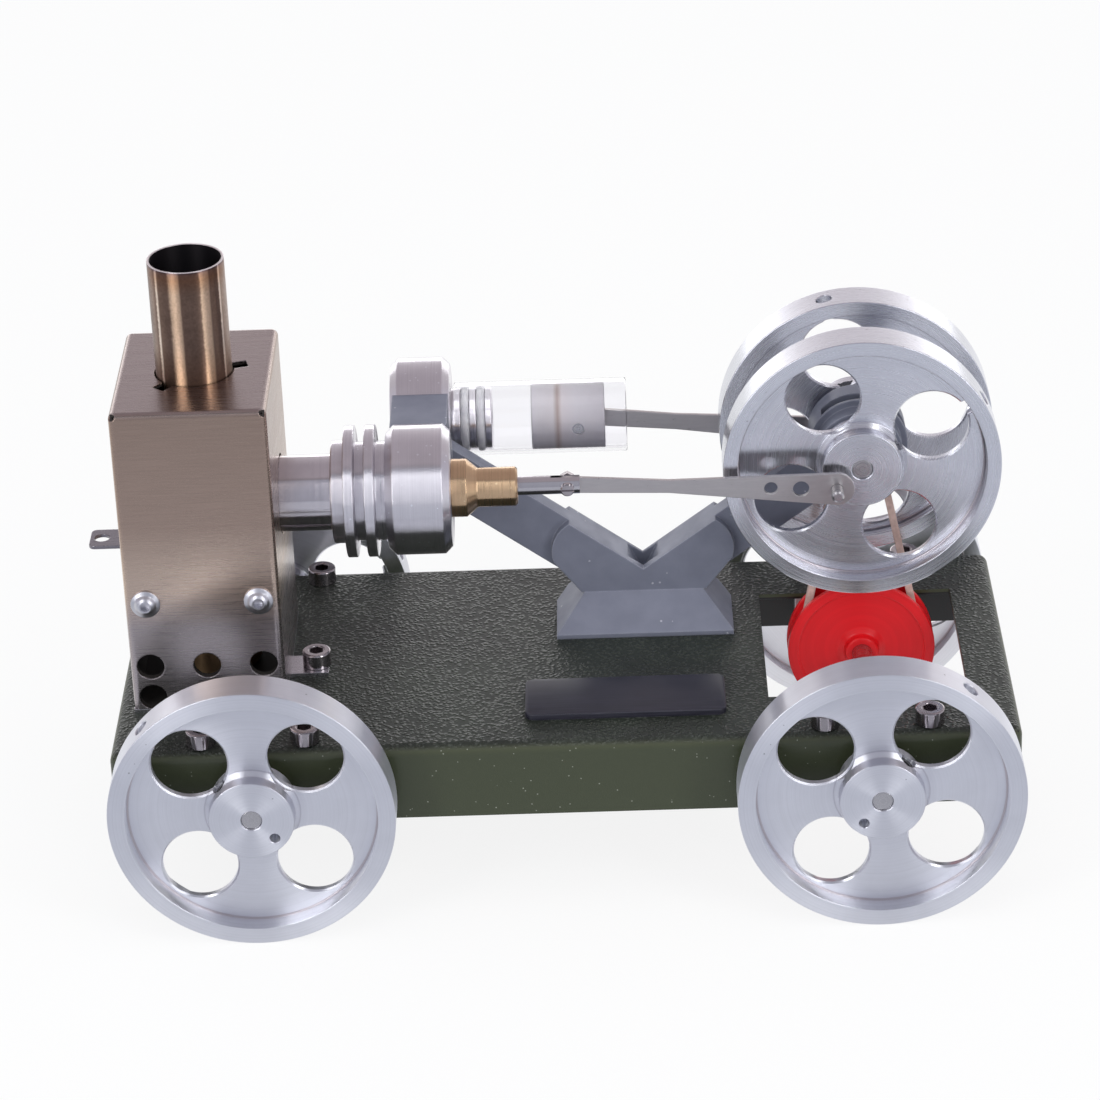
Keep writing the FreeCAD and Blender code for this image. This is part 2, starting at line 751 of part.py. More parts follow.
def bearing_parts(y0):
    """Ball bearing from y0 on: outer ring, inner ring and balls."""
    y1 = y0 + bearing_width
    middle = y0 + bearing_width / 2
    inner_radius = shaft_radius + bearing_ring
    outer_bore = bearing_outer_radius - bearing_ring
    pitch = (inner_radius + outer_bore) / 2
    centre = Vector(crank_x, middle, axis_height)
    track = Part.makeTorus(pitch, ball_radius + running, centre, Vector(0, 1, 0))
    outer = rod_y(crank_x, axis_height, y0, y1, bearing_outer_radius)
    outer = outer.cut(rod_y(crank_x, axis_height, y0 - 1, y1 + 1, outer_bore)).cut(track)
    inner = rod_y(crank_x, axis_height, y0, y1, inner_radius)
    inner = inner.cut(rod_y(crank_x, axis_height, y0 - 1, y1 + 1, shaft_radius + press)).cut(track)
    balls = []
    for k in range(ball_count):
        x, z = on_circle(crank_x, axis_height, pitch, 360 / ball_count * k)
        balls.append(Part.makeSphere(ball_radius, Vector(x, middle, z)))
    return outer, inner, balls


def crank_pulley():
    """Sleeve that the belt runs on, with two low lips."""
    half = belt_slot / 2 - crank_pulley_side_gap
    lip = crank_pulley_bevel
    lip_radius = crank_pulley_floor + crank_pulley_lip
    bore = shaft_radius + press
    profile = [(-half, bore), (-half, lip_radius), (-half + lip, crank_pulley_floor),
               (half - lip, crank_pulley_floor), (half, lip_radius), (half, bore)]
    return turned(profile, (crank_x, engine_mid_y, axis_height), (0, 1, 0))


def belt_loop(spread):
    """Closed wire round both pulleys, spread being the distance from the pitch line."""
    top = Vector(crank_x, 0, axis_height)
    low = Vector(drive_axle_x, 0, wheel_radius)
    top_radius = crank_pitch + spread
    low_radius = driven_pitch + spread
    gap = top.sub(low)
    lean = math.asin((low_radius - top_radius) / gap.Length)
    up = math.atan2(gap.z, gap.x)

    def touch(centre, radius, angle):
        return Vector(centre.x + radius * math.cos(angle), engine_mid_y, centre.z + radius * math.sin(angle))

    left = up + math.pi / 2 - lean
    right = up - math.pi / 2 + lean
    top_arc = [touch(top, top_radius, angle) for angle in (right, up, left)]
    low_arc = [touch(low, low_radius, angle) for angle in (left, up + math.pi, right)]
    return Part.Wire([
        Part.makeLine(low_arc[2], top_arc[0]), Part.Arc(*top_arc).toShape(),
        Part.makeLine(top_arc[2], low_arc[0]), Part.Arc(*low_arc).toShape()])


def drive_belt():
    outer = Part.Face(belt_loop(belt_thickness / 2)).extrude(Vector(0, belt_width, 0))
    inner = Part.Face(belt_loop(-belt_thickness / 2)).extrude(Vector(0, belt_width, 0))
    ring = outer.cut(inner)
    ring.translate(Vector(0, -belt_width / 2, 0))
    return ring


def driven_pulley():
    half = driven_pulley_width / 2
    land = driven_pulley_radius - pulley_rim_land
    dish = half - pulley_face_dish
    groove = half - pulley_flange
    taper = pulley_groove_taper
    bore = shaft_radius + press
    boss = half + pulley_boss_length
    profile = [
        (-boss, bore), (-boss, pulley_boss_radius), (-dish, pulley_boss_base), (-dish, land),
        (-half, land), (-half, driven_pulley_radius), (-groove, driven_pulley_radius),
        (-groove + taper, driven_pulley_floor), (groove - taper, driven_pulley_floor),
        (groove, driven_pulley_radius), (half, driven_pulley_radius), (half, land), (dish, land),
        (dish, pulley_boss_base), (half, pulley_boss_radius), (half, bore)]
    return turned(profile, (drive_axle_x, engine_mid_y, wheel_radius), (0, 1, 0))


def build_crank_group():
    front, front_grub = flywheel("front_flywheel")
    rear, rear_grub = flywheel("rear_flywheel")
    save("front_flywheel", [front])
    save("rear_flywheel", [rear])
    save("flywheel_grub_screws", [front_grub, rear_grub])
    save("crankshaft", [rod_y(
        crank_x, axis_height, front_face_y + edge_break, rear_face_y - edge_break, shaft_radius)])
    save("crank_pulley", [crank_pulley()])
    save("driven_pulley", [driven_pulley()])
    save("drive_belt", [drive_belt()])
    inset = bearing_seat_room / 2
    pairs = [bearing_parts(boss_front_y + inset), bearing_parts(boss_back_y - bearing_width - inset)]
    save("crank_bearing_outer_rings", [pair[0] for pair in pairs])
    save("crank_bearing_inner_rings", [pair[1] for pair in pairs])
    save("crank_bearing_balls", [ball for pair in pairs for ball in pair[2]])


# ---- displacer cylinder ----
def cooler_flange():
    c = flange_chamfer
    x = flange_left_x
    outline = [(x - distance, radius) for distance, radius in cooler_steps()]
    profile = outline + [
        (x, flange_radius - c), (x + c, flange_radius), (flange_right_x - c, flange_radius),
        (flange_right_x, flange_radius - c), (flange_right_x, bush_spigot_radius + press),
        (flange_right_x - cooler_front_wall, bush_spigot_radius + press),
        (flange_right_x - cooler_front_wall, hot_tube_bore),
        (hot_tube_open_x(), hot_tube_bore), (hot_tube_open_x(), hot_tube_radius + press),
        (outline[0][0], hot_tube_radius + press)]
    body = turned(profile, (0, displacer_y, axis_height), (1, 0, 0))
    tools = cylinder_grub_tools(cylinder_grub_radius + press, cylinder_grub_tip_room)
    tools.append(gas_passage())
    return cut_all(body, tools)


def cooler_steps():
    """(distance left of the flange, radius) along the fins, from the collar's end."""
    pitch = fin_thickness + fin_gap
    end = 2 * pitch + collar_length
    steps = [(end, collar_radius), (2 * pitch, collar_radius)]
    for k in (2, 1):
        steps += [
            (k * pitch, fin_radius), (k * pitch - fin_thickness, fin_radius),
            (k * pitch - fin_thickness, neck_radius), ((k - 1) * pitch, neck_radius)]
    return steps


def hot_tube_open_x():
    return flange_left_x - 2 * (fin_thickness + fin_gap) - collar_length + hot_tube_grip


def hot_tube():
    outer = rod_x(displacer_y, axis_height, hot_tube_end_x, hot_tube_open_x() - gasket, hot_tube_radius)
    closed_end = min(outer.Edges, key=lambda edge: edge.BoundBox.XMax)
    outer = outer.makeFillet(2 * hot_tube_wall, [closed_end])
    inner_end = hot_tube_end_x + hot_tube_wall
    return outer.cut(rod_x(displacer_y, axis_height, inner_end, hot_tube_open_x() + 1, hot_tube_bore))


def hot_tube_gasket():
    x0 = hot_tube_open_x() - gasket + press
    ring = rod_x(displacer_y, axis_height, x0, hot_tube_open_x() - press, hot_tube_radius)
    return ring.cut(rod_x(displacer_y, axis_height, x0 - 1, hot_tube_open_x() + 1, hot_tube_bore))


def guide_bush():
    x = flange_right_x
    big = x + bush_big_length
    cone = big + bush_cone_length
    end = cone + bush_nose_length
    bore = displacer_shaft_radius + running
    inner = x - cooler_front_wall
    profile = [
        (inner, bore), (inner, bush_spigot_radius), (x, bush_spigot_radius), (x, bush_big_radius),
        (big, bush_big_radius), (cone, bush_small_radius), (end - bush_nose_chamfer, bush_small_radius),
        (end, bush_small_radius - bush_nose_chamfer), (end, bore)]
    return turned(profile, (0, displacer_y, axis_height), (1, 0, 0))


def displacer_travel():
    """Least and greatest shift of the displacer from rest as the crank turns."""
    length = math.hypot(front_pin_x - clevis_pivot_x, front_pin_z - axis_height)
    return crank_x - crank_radius - length - clevis_pivot_x, crank_x + crank_radius - length - clevis_pivot_x


def displacer_ends():
    least, greatest = displacer_travel()
    left = hot_tube_end_x + hot_tube_wall + displacer_end_room - least
    right = flange_right_x - cooler_front_wall - displacer_end_room - greatest
    return left, right


def displacer():
    left, right = displacer_ends()
    radius = hot_tube_bore - displacer_gap
    body = rod_x(displacer_y, axis_height, left, right, radius)
    inner_right = right - displacer_shaft_grip
    body = body.cut(rod_x(
        displacer_y, axis_height, left + displacer_wall, inner_right, radius - displacer_wall))
    return body.cut(rod_x(
        displacer_y, axis_height, inner_right - 1, right + 1, displacer_shaft_radius + press))


def displacer_shaft():
    start = displacer_ends()[1] - displacer_shaft_grip + displacer_shaft_set_back
    end = clevis_pivot_x + clevis_tail
    body = rod_x(displacer_y, axis_height, start, end, displacer_shaft_radius)
    half_slot = rod_thickness / 2 + running
    reach = displacer_shaft_radius + 1
    body = body.cut(block(
        end - clevis_slot, end + 1, displacer_y - half_slot, displacer_y + half_slot,
        axis_height - reach, axis_height + reach))
    return body.cut(rod_y(
        clevis_pivot_x, axis_height, displacer_y - reach, displacer_y + reach, clevis_screw_radius + press))


def clevis_screw():
    face = displacer_y - displacer_shaft_radius - press
    end = displacer_y + displacer_shaft_radius + clevis_nut + clevis_screw_proud
    head = rod_y(clevis_pivot_x, axis_height, face - clevis_head, face, clevis_head_radius)
    rim = min(head.Edges, key=lambda edge: edge.BoundBox.YMax)
    head = head.makeChamfer(clevis_head_chamfer, [rim])
    body = head.fuse(rod_y(clevis_pivot_x, axis_height, face, end, clevis_screw_radius))
    slot_floor = face - clevis_head + clevis_head_slot_depth
    half = clevis_head_slot_half
    slot = block(
        clevis_pivot_x - clevis_head_radius, clevis_pivot_x + clevis_head_radius, face - clevis_head - 1,
        slot_floor, axis_height - half, axis_height + half)
    return body.cut(slot)


def clevis_nut_piece():
    y0 = displacer_y + displacer_shaft_radius + press
    points = [on_circle(clevis_pivot_x, axis_height, clevis_nut_radius, 60 * k + 30) for k in range(6)]
    body = slab_xz(points, y0, y0 + clevis_nut)
    bore = clevis_screw_radius + press
    return body.cut(rod_y(clevis_pivot_x, axis_height, y0 - 1, y0 + clevis_nut + 1, bore))


# ---- connecting rods ----
def flat_rod(y, start, end, widths, pivot_hole, extra_holes):
    """Flat bar from its pivot to its crank pin, waisted, with a round big end."""
    along = Vector(end[0] - start[0], 0, end[1] - start[1])
    length = along.Length
    angle = math.degrees(math.atan2(along.z, along.x))
    half = rod_thickness / 2

    def at(distance, side):
        return Vector(distance, 0, side)

    waist = rod_waist_from_pivot
    small_half, waist_half, big_half = [width / 2 for width in widths]
    edges = [
        Part.makeLine(at(0, small_half), at(waist, waist_half)),
        Part.makeLine(at(waist, waist_half), at(length, big_half)),
        Part.Arc(at(length, big_half), at(length + big_half, 0), at(length, -big_half)).toShape(),
        Part.makeLine(at(length, -big_half), at(waist, -waist_half)),
        Part.makeLine(at(waist, -waist_half), at(0, -small_half)),
        Part.Arc(at(0, -small_half), at(-small_half, 0), at(0, small_half)).toShape()]
    body = Part.Face(Part.Wire(edges)).extrude(Vector(0, rod_thickness, 0))
    holes = [(0, pivot_hole), (length, crank_pin_radius + press)]
    holes += [(length - distance, radius) for distance, radius in extra_holes]
    for distance, radius in holes:
        body = body.cut(rod_y(distance, 0, -1, rod_thickness + 1, radius))
    body.rotate(Vector(0, 0, 0), Vector(0, 1, 0), -angle)
    body.translate(Vector(start[0], y - half, start[1]))
    return body


def crank_pin(x, z, rod_y_middle, wheel_y, outward):
    """Stud through the rod's big end, with a collar between rod and wheel. outward is -1 or +1."""
    half = rod_thickness / 2 + press
    collar_end = wheel_y + outward * seat_gap
    tail = rod_y_middle + outward * (half + crank_pin_tail)
    low = min(collar_end, tail)
    body = rod_y(x, z, low, low + abs(tail - collar_end), crank_pin_radius)
    tip = min(body.Edges, key=lambda edge: -outward * edge.BoundBox.Center.y)
    body = body.makeChamfer(crank_pin_chamfer, [tip])
    collar_start = rod_y_middle - outward * half
    low = min(collar_start, collar_end)
    return body.fuse(rod_y(x, z, low, low + abs(collar_start - collar_end), crank_pin_collar_radius))


# ---- power cylinder ----
def seal_places():
    """Middle of each seal ring along X."""
    groove = 2 * (seal_section + seal_groove_room)
    second = spigot_end_x - seal_land - groove / 2
    return [second - groove - seal_land, second]


def power_cylinder_head():
    c = flange_chamfer
    x0 = head_left_x
    x1 = head_left_x + head_flange_length
    half = seal_section + seal_groove_room
    floor = glass_bore - running - 2 * seal_section - press
    profile = [(x0, 0), (x0, flange_radius - c), (x0 + c, flange_radius), (x1 - c, flange_radius),
               (x1, flange_radius - c), (x1, spigot_radius)]
    for middle in seal_places():
        profile += [(middle - half, spigot_radius), (middle - half, floor),
                    (middle + half, floor), (middle + half, spigot_radius)]
    profile += [(spigot_end_x, spigot_radius), (spigot_end_x, 0)]
    body = turned(profile, (0, power_y, axis_height), (1, 0, 0))
    tools = cylinder_grub_tools(cylinder_grub_radius + press, cylinder_grub_tip_room)
    tools.append(gas_passage())
    tools.append(rod_x(power_y, axis_height, flange_mid_x, spigot_end_x + 1, gas_passage_radius))
    return cut_all(body, tools)


def seal_rings():
    ring_radius = glass_bore - running - seal_section
    return [Part.makeTorus(ring_radius, seal_section, Vector(x, power_y, axis_height), Vector(1, 0, 0))
            for x in seal_places()]


def glass_cylinder():
    outer = rod_x(power_y, axis_height, glass_left_x, glass_right_x, glass_outer_radius)
    return outer.cut(rod_x(power_y, axis_height, glass_left_x - 1, glass_right_x + 1, glass_bore))


def power_piston():
    radius = glass_bore - running
    right = piston_left_x + piston_length
    body = rod_x(power_y, axis_height, piston_left_x, right, radius)
    hollow_x = piston_left_x + piston_crown
    body = body.cut(rod_x(power_y, axis_height, hollow_x, right + 1, radius - piston_wall))
    return body.cut(rod_y(
        wrist_pin_x, axis_height, power_y - radius - 1, power_y + radius + 1, wrist_pin_radius + press))


def wrist_pin():
    half = glass_bore - running - wrist_pin_end_room
    return rod_y(wrist_pin_x, axis_height, power_y - half, power_y + half, wrist_pin_radius)


def build_engine():
    save("engine_frame", [engine_frame()])
    save("frame_base_screws", [
        upward_screw(x, y, deck_under, sheet + frame_screw_grip) for x, y in frame_screw_places()])
    save("cylinder_grub_screws", cylinder_grub_tools(cylinder_grub_radius, 0))
    save("hot_tube", [hot_tube()])
    save("hot_tube_gasket", [hot_tube_gasket()])
    save("cooler_flange", [cooler_flange()])
    save("guide_bush", [guide_bush()])
    save("displacer", [displacer()])
    save("displacer_shaft", [displacer_shaft()])
    save("clevis_screw", [clevis_screw()])
    save("clevis_nut", [clevis_nut_piece()])
    save("displacer_rod", [flat_rod(
        displacer_y, (clevis_pivot_x, axis_height), (front_pin_x, front_pin_z), displacer_rod_widths,
        clevis_screw_radius + running, (rod_hole_one, rod_hole_two))])
    save("displacer_crank_pin", [crank_pin(front_pin_x, front_pin_z, displacer_y, front_face_y, -1)])
    save("power_cylinder_head", [power_cylinder_head()])
    save("glass_seal_rings", seal_rings())
    save("glass_cylinder", [glass_cylinder()])
    save("power_piston", [power_piston()])
    save("wrist_pin", [wrist_pin()])
    save("power_rod", [flat_rod(
        power_y, (wrist_pin_x, axis_height), (rear_pin_x, rear_pin_z), power_rod_widths,
        wrist_pin_radius + running, ())])
    save("power_crank_pin", [crank_pin(rear_pin_x, rear_pin_z, power_y, rear_face_y, 1)])


# ---- burner box ----
def vent_holes(y0, y1):
    holes = []
    for z in (vent_low_row, vent_high_row):
        for across in (-vent_pitch_x, 0, vent_pitch_x):
            holes.append(rod_y(box_mid_x + across, deck_height + z, y0, y1, vent_radius))
    return holes


def cover_screw_places():
    return [(box_mid_x + side * cover_screw_offset, cover_screw_height) for side in (-1, 1)]


def box_cover():
    """Folded cover: front, top, sides and the upper part of the back, open underneath."""
    s = box_sheet
    outer = block(box_left, box_right, box_front, box_back, tray_top, box_top)
    edges = [e for e in outer.Edges if e.BoundBox.ZMax > box_top - 0.01 or e.BoundBox.ZLength > 1]
    outer = outer.makeFillet(box_bend, edges)
    tools = [block(box_left + s, box_right - s, box_front + s, box_back - s, tray_top - 1, box_top - s)]
    tools += vent_holes(box_front - 1, box_front + s + 1)
    tools.append(block(
        box_mid_x - doorway_half, box_mid_x + doorway_half, box_back - s - 1, box_back + 1,
        tray_top - 1, doorway_top))
    tube_hole = hot_tube_radius + tube_hole_gap
    tools.append(rod_x(displacer_y, axis_height, box_right - s - 1, box_right + 1, tube_hole))
    tools.append(rod_z(box_mid_x, box_mid_y, box_top - s - 1, box_top + 1, chimney_radius + chimney_hole_gap))
    for angle in notch_angles:
        tools.append(chimney_notch(angle))
    for x, z in cover_screw_places():
        tools.append(rod_y(x, z, box_front - 1, box_front + s + 1, cover_screw_radius + press))
    half = damper_width / 2 + running
    low = damper_height - running
    tools.append(block(
        box_left - 1, box_left + s + 1, damper_y - half, damper_y + half, low,
        damper_height + damper_thickness + running))
    inset = corner_relief_inset
    for x in (box_left + inset, box_right - inset):
        corner = Vector(x, box_front + inset, box_top - inset)
        tools.append(Part.makeSphere(corner_relief_radius, corner))
    return cut_all(outer, tools)


def chimney_notch(angle):
    reach = chimney_radius + chimney_hole_gap + notch_length
    tool = block(0, reach, -notch_width / 2, notch_width / 2, box_top - box_sheet - 1, box_top + 1)
    tool.rotate(Vector(0, 0, 0), Vector(0, 0, 1), angle)
    tool.translate(Vector(box_mid_x, box_mid_y, 0))
    return tool


def tray_screw_place():
    return box_right + foot_length - foot_screw_from_end, foot_y


def box_tray():
    """Floor with a foot, and an upright behind the cover's front that folds over into the damper's shelf."""
    s = box_sheet
    front = box_front + s + press
    floor = block(box_left, box_right, box_front, box_back, deck_height, deck_height + s - press)
    upright = block(
        box_left + s + press, box_right - s - press, front, front + s, deck_height, damper_height - running)
    foot = block(
        box_right - s, box_right + foot_length, foot_y - foot_width / 2, foot_y + foot_width / 2,
        deck_height, deck_height + s - press)
    shelf_top = damper_height - running
    shelf = block(
        box_left + s + press, box_right - s - press, front, damper_y + damper_width / 2 + shelf_margin,
        shelf_top - s, shelf_top)
    body = joined([floor, upright, foot, shelf])
    body = body.cut(rod_z(box_mid_x, displacer_y, shelf_top - s - 1, shelf_top + 1, shelf_window_radius))
    tools = vent_holes(front - 1, front + s + 1)
    for x, z in cover_screw_places():
        tools.append(rod_y(x, z, front - 1, front + s + 1, cover_screw_radius + press))
    x, y = tray_screw_place()
    tools.append(rod_z(x, y, deck_height - 1, tray_top + 1, cap_screw_radius + press))
    return cut_all(body, tools)


def cover_screw(x, z):
    """Flanged button head on the cover, its shank through cover and tray."""
    face = box_front - press
    profile = [
        (0, 0), (0, cover_washer_radius), (cover_washer / 2, cover_washer_radius),
        (cover_washer, cover_head_radius * 1.24), (cover_washer + cover_head * 0.6, cover_head_radius),
        (cover_washer + cover_head, cover_head_radius * 0.71), (cover_washer + cover_head, 0)]
    head = turned(profile, (x, face, z), (0, -1, 0))
    key_start = face - cover_washer - cover_head
    points = [on_circle(x, z, cover_key_radius, 60 * k) for k in range(6)]
    head = head.cut(slab_xz(points, key_start - 1, key_start + cover_key_depth))
    return head.fuse(rod_y(x, z, face, face + 2 * box_sheet + cover_screw_tail, cover_screw_radius))


def chimney():
    """Tube with two ears that hook under the box's top."""
    outer = rod_z(box_mid_x, box_mid_y, box_top - chimney_grip, chimney_top, chimney_radius)
    ear_top = box_top - box_sheet - press
    reach = chimney_radius + chimney_hole_gap + chimney_ear_length
    half = chimney_ear_width / 2
    for angle in chimney_ear_angles:
        ear = block(0, reach, -half, half, ear_top - chimney_ear_thickness, ear_top)
        ear.rotate(Vector(0, 0, 0), Vector(0, 0, 1), angle)
        ear.translate(Vector(box_mid_x, box_mid_y, 0))
        outer = outer.fuse(ear)
    return outer.cut(rod_z(
        box_mid_x, box_mid_y, box_top - chimney_grip - 1, chimney_top + 1, chimney_radius - chimney_wall))


def damper_slide():
    """Flat slide under the hot tube, with a flame window and a finger hole in its tab."""
    half = damper_width / 2
    body = block(
        damper_end_x, box_right - box_sheet - seat_gap, damper_y - half, damper_y + half,
        damper_height, damper_height + damper_thickness)
    upright = [e for e in body.Edges if e.BoundBox.ZLength > damper_thickness / 2]
    corners = [e for e in upright if e.BoundBox.XMax < damper_end_x + damper_corner]
    body = body.makeFillet(damper_corner, corners)
    top = damper_height + damper_thickness + 1
    hole_x = damper_end_x + damper_hole_from_end
    body = body.cut(rod_z(hole_x, damper_y, damper_height - 1, top, damper_hole_radius))
    return body.cut(rod_z(box_mid_x, damper_y, damper_height - 1, top, flame_window_radius))


def burner_tank():
    top = tray_top + tank_height
    body = rod_z(box_mid_x, displacer_y, tray_top, top, tank_radius)
    rims = [e for e in body.Edges if e.BoundBox.ZLength < 0.01]
    body = body.makeFillet(tank_round, rims)
    body = body.cut(rod_z(
        box_mid_x, displacer_y, tray_top + tank_wall, top - tank_wall, tank_radius - tank_wall))
    neck = wick_holder_radius - wick_holder_step + press
    return body.cut(rod_z(box_mid_x, displacer_y, top - tank_neck_depth, top + 1, neck))


def wick_holder():
    top = tray_top + tank_height
    bore = wick_radius + press
    stub = wick_holder_radius - wick_holder_step
    flange = wick_holder_radius + wick_holder_flange
    profile = [
        (-wick_holder_stub, bore), (-wick_holder_stub, stub), (press, stub), (press, flange),
        (wick_holder_flange, flange), (wick_holder_flange, wick_holder_radius),
        (wick_holder_height, wick_holder_radius), (wick_holder_height, bore)]
    return turned(profile, (box_mid_x, displacer_y, top), (0, 0, 1))


def wick():
    body = rod_z(box_mid_x, displacer_y, tray_top + wick_above_floor, wick_top, wick_radius)
    tip = max(body.Edges, key=lambda edge: edge.BoundBox.ZMin)
    return body.makeFillet(wick_tip_round, [tip])


def build_burner():
    save("burner_box_cover", [box_cover()])
    save("burner_box_tray", [box_tray()])
    save("cover_screws", [cover_screw(x, z) for x, z in cover_screw_places()])
    screw_x, screw_y = tray_screw_place()
    save("tray_screw", [cap_screw(screw_x, screw_y, tray_top, tray_screw_length)])
    save("chimney", [chimney()])
    save("damper_slide", [damper_slide()])
    save("burner_tank", [burner_tank()])
    save("wick_holder", [wick_holder()])
    save("wick", [wick()])


os.makedirs("parts", exist_ok=True)
save("chassis", [chassis()])
save("name_plate", [name_plate()])
build_running_gear()
build_crank_group()
build_engine()
build_burner()
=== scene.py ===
import bpy
import bmesh
import math
from mathutils import Matrix, Vector


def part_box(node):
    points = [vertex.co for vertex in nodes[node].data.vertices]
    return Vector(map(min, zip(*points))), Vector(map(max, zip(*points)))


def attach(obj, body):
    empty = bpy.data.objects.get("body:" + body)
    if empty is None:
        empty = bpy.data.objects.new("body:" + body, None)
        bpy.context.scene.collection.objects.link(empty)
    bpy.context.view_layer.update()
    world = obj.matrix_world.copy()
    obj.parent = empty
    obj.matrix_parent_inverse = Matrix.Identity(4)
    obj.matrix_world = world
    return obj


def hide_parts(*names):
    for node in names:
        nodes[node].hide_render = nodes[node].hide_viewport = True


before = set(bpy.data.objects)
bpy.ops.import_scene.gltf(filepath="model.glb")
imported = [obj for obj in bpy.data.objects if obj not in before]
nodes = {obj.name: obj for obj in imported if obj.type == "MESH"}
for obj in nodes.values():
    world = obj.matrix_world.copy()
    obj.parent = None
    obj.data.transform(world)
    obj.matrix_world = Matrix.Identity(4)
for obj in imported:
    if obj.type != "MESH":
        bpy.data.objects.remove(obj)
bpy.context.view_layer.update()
mm = 0.001
print("frame loaded:", len(nodes), "nodes")


# shader tree helpers: a value, a tuple or another node's output may feed any socket
def startMaterial(name):
    material = bpy.data.materials.new(name)
    material.use_nodes = True
    tree = material.node_tree
    return material, tree, tree.nodes["Principled BSDF"]


def addNode(tree, kind, **settings):
    node = tree.nodes.new(kind)
    for key, value in settings.items():
        setattr(node, key, value)
    return node


def feed(tree, source, target):
    if isinstance(source, (int, float)):
        target.default_value = source
    elif isinstance(source, (tuple, list, Vector)):
        target.default_value = (*source[:3], 1) if target.type == "RGBA" else tuple(source)
    elif source is not None:
        tree.links.new(source, target)


def feedNamed(tree, node, **values):
    for label, value in values.items():
        feed(tree, value, node.inputs[label])


def mathNode(tree, operation, first, second=None, third=None, clamp=False):
    node = addNode(tree, "ShaderNodeMath", operation=operation, use_clamp=clamp)
    for value, socket in zip((first, second, third), node.inputs):
        feed(tree, value, socket)
    return node.outputs[0]


def vectorNode(tree, operation, first, second=None):
    node = addNode(tree, "ShaderNodeVectorMath", operation=operation)
    feed(tree, first, node.inputs[0])
    feed(tree, second, node.inputs[3] if operation == "SCALE" else node.inputs[1])
    return node.outputs["Value" if operation == "DOT_PRODUCT" else "Vector"]


def times(tree, first, second):
    return mathNode(tree, "MULTIPLY", first, second)


def oneMinus(tree, value):
    return mathNode(tree, "SUBTRACT", 1.0, value)


def fromAxis(tree, first, second):
    # how far off an axis a place lies, by its two coordinates across that axis
    squares = times(tree, first, first), times(tree, second, second)
    return mathNode(tree, "SQRT", mathNode(tree, "ADD", *squares))


def faceNormal(tree):
    return addNode(tree, "ShaderNodeNewGeometry").outputs["Normal"]


def mixColor(tree, factor, first, second, blend="MIX"):
    node = addNode(tree, "ShaderNodeMix", data_type="RGBA", blend_type=blend)
    for value, socket in ((factor, node.inputs[0]), (first, node.inputs[6]), (second, node.inputs[7])):
        feed(tree, value, socket)
    return node.outputs[2]


def rangeNode(tree, value, low, high, newLow, newHigh, smooth=False):
    node = addNode(tree, "ShaderNodeMapRange", interpolation_type="SMOOTHSTEP" if smooth else "LINEAR")
    feed(tree, value, node.inputs["Value"])
    for label, number in (("From Min", low), ("From Max", high), ("To Min", newLow), ("To Max", newHigh)):
        node.inputs[label].default_value = number
    return node.outputs["Result"]


def rampNode(tree, value, stops):
    # stops is a list of (place from 0 to 1, colour)
    node = addNode(tree, "ShaderNodeValToRGB")
    elements = node.color_ramp.elements
    while len(elements) < len(stops):
        elements.new(0.5)
    for element, (place, color) in zip(elements, stops):
        element.position = place
        element.color = (*color, 1)
    feed(tree, value, node.inputs[0])
    return node.outputs["Color"]


def noiseNode(tree, place, scale, detail=2.0, roughness=0.5):
    node = addNode(tree, "ShaderNodeTexNoise")
    feedNamed(tree, node, Vector=place, Scale=scale, Detail=detail, Roughness=roughness)
    return node.outputs[0]


def objectPlace(tree, centre=(0, 0, 0), stretch=None, turn=(0, 0, 0)):
    coords = addNode(tree, "ShaderNodeTexCoord")
    mapping = addNode(tree, "ShaderNodeMapping", vector_type="TEXTURE")
    mapping.inputs["Location"].default_value = centre
    mapping.inputs["Rotation"].default_value = turn
    feed(tree, coords.outputs["Object"], mapping.inputs["Vector"])
    return vectorNode(tree, "MULTIPLY", mapping.outputs[0], stretch) if stretch else mapping.outputs[0]


def splitPlace(tree, place):
    node = addNode(tree, "ShaderNodeSeparateXYZ")
    feed(tree, place, node.inputs[0])
    return node.outputs


def greyTint(tree, value, color):
    # a colour made lighter or darker by one value
    tint = addNode(tree, "ShaderNodeCombineXYZ")
    for socket in tint.inputs:
        feed(tree, value, socket)
    return mixColor(tree, 1.0, color, tint.outputs[0], "MULTIPLY")


def finishSurface(tree, shader, color, rough, height, distance, normal=None):
    # colour, roughness and relief of a surface; the relief's distance is in millimetres
    bump = addNode(tree, "ShaderNodeBump")
    feedNamed(tree, bump, Distance=distance * mm, Height=height, Normal=normal)
    feedNamed(tree, shader, Roughness=rough, Normal=bump.outputs["Normal"])
    feed(tree, color, shader.inputs["Base Color"])


def startGroup(name, inputs, outputs):
    # an input without a number is a vector, and so is the output called Normal
    group = bpy.data.node_groups.new(name, "ShaderNodeTree")
    for label, value in inputs.items():
        kind = "NodeSocketVector" if value is None else "NodeSocketFloat"
        socket = group.interface.new_socket(name=label, in_out="INPUT", socket_type=kind)
        if value is not None:
            socket.default_value = value
    for label in outputs:
        kind = "NodeSocketVector" if label == "Normal" else "NodeSocketFloat"
        group.interface.new_socket(name=label, in_out="OUTPUT", socket_type=kind)
    return group, group.nodes.new("NodeGroupInput").outputs, group.nodes.new("NodeGroupOutput").inputs


def useGroup(tree, group, **values):
    node = addNode(tree, "ShaderNodeGroup", node_tree=group)
    feedNamed(tree, node, **values)
    return node.outputs


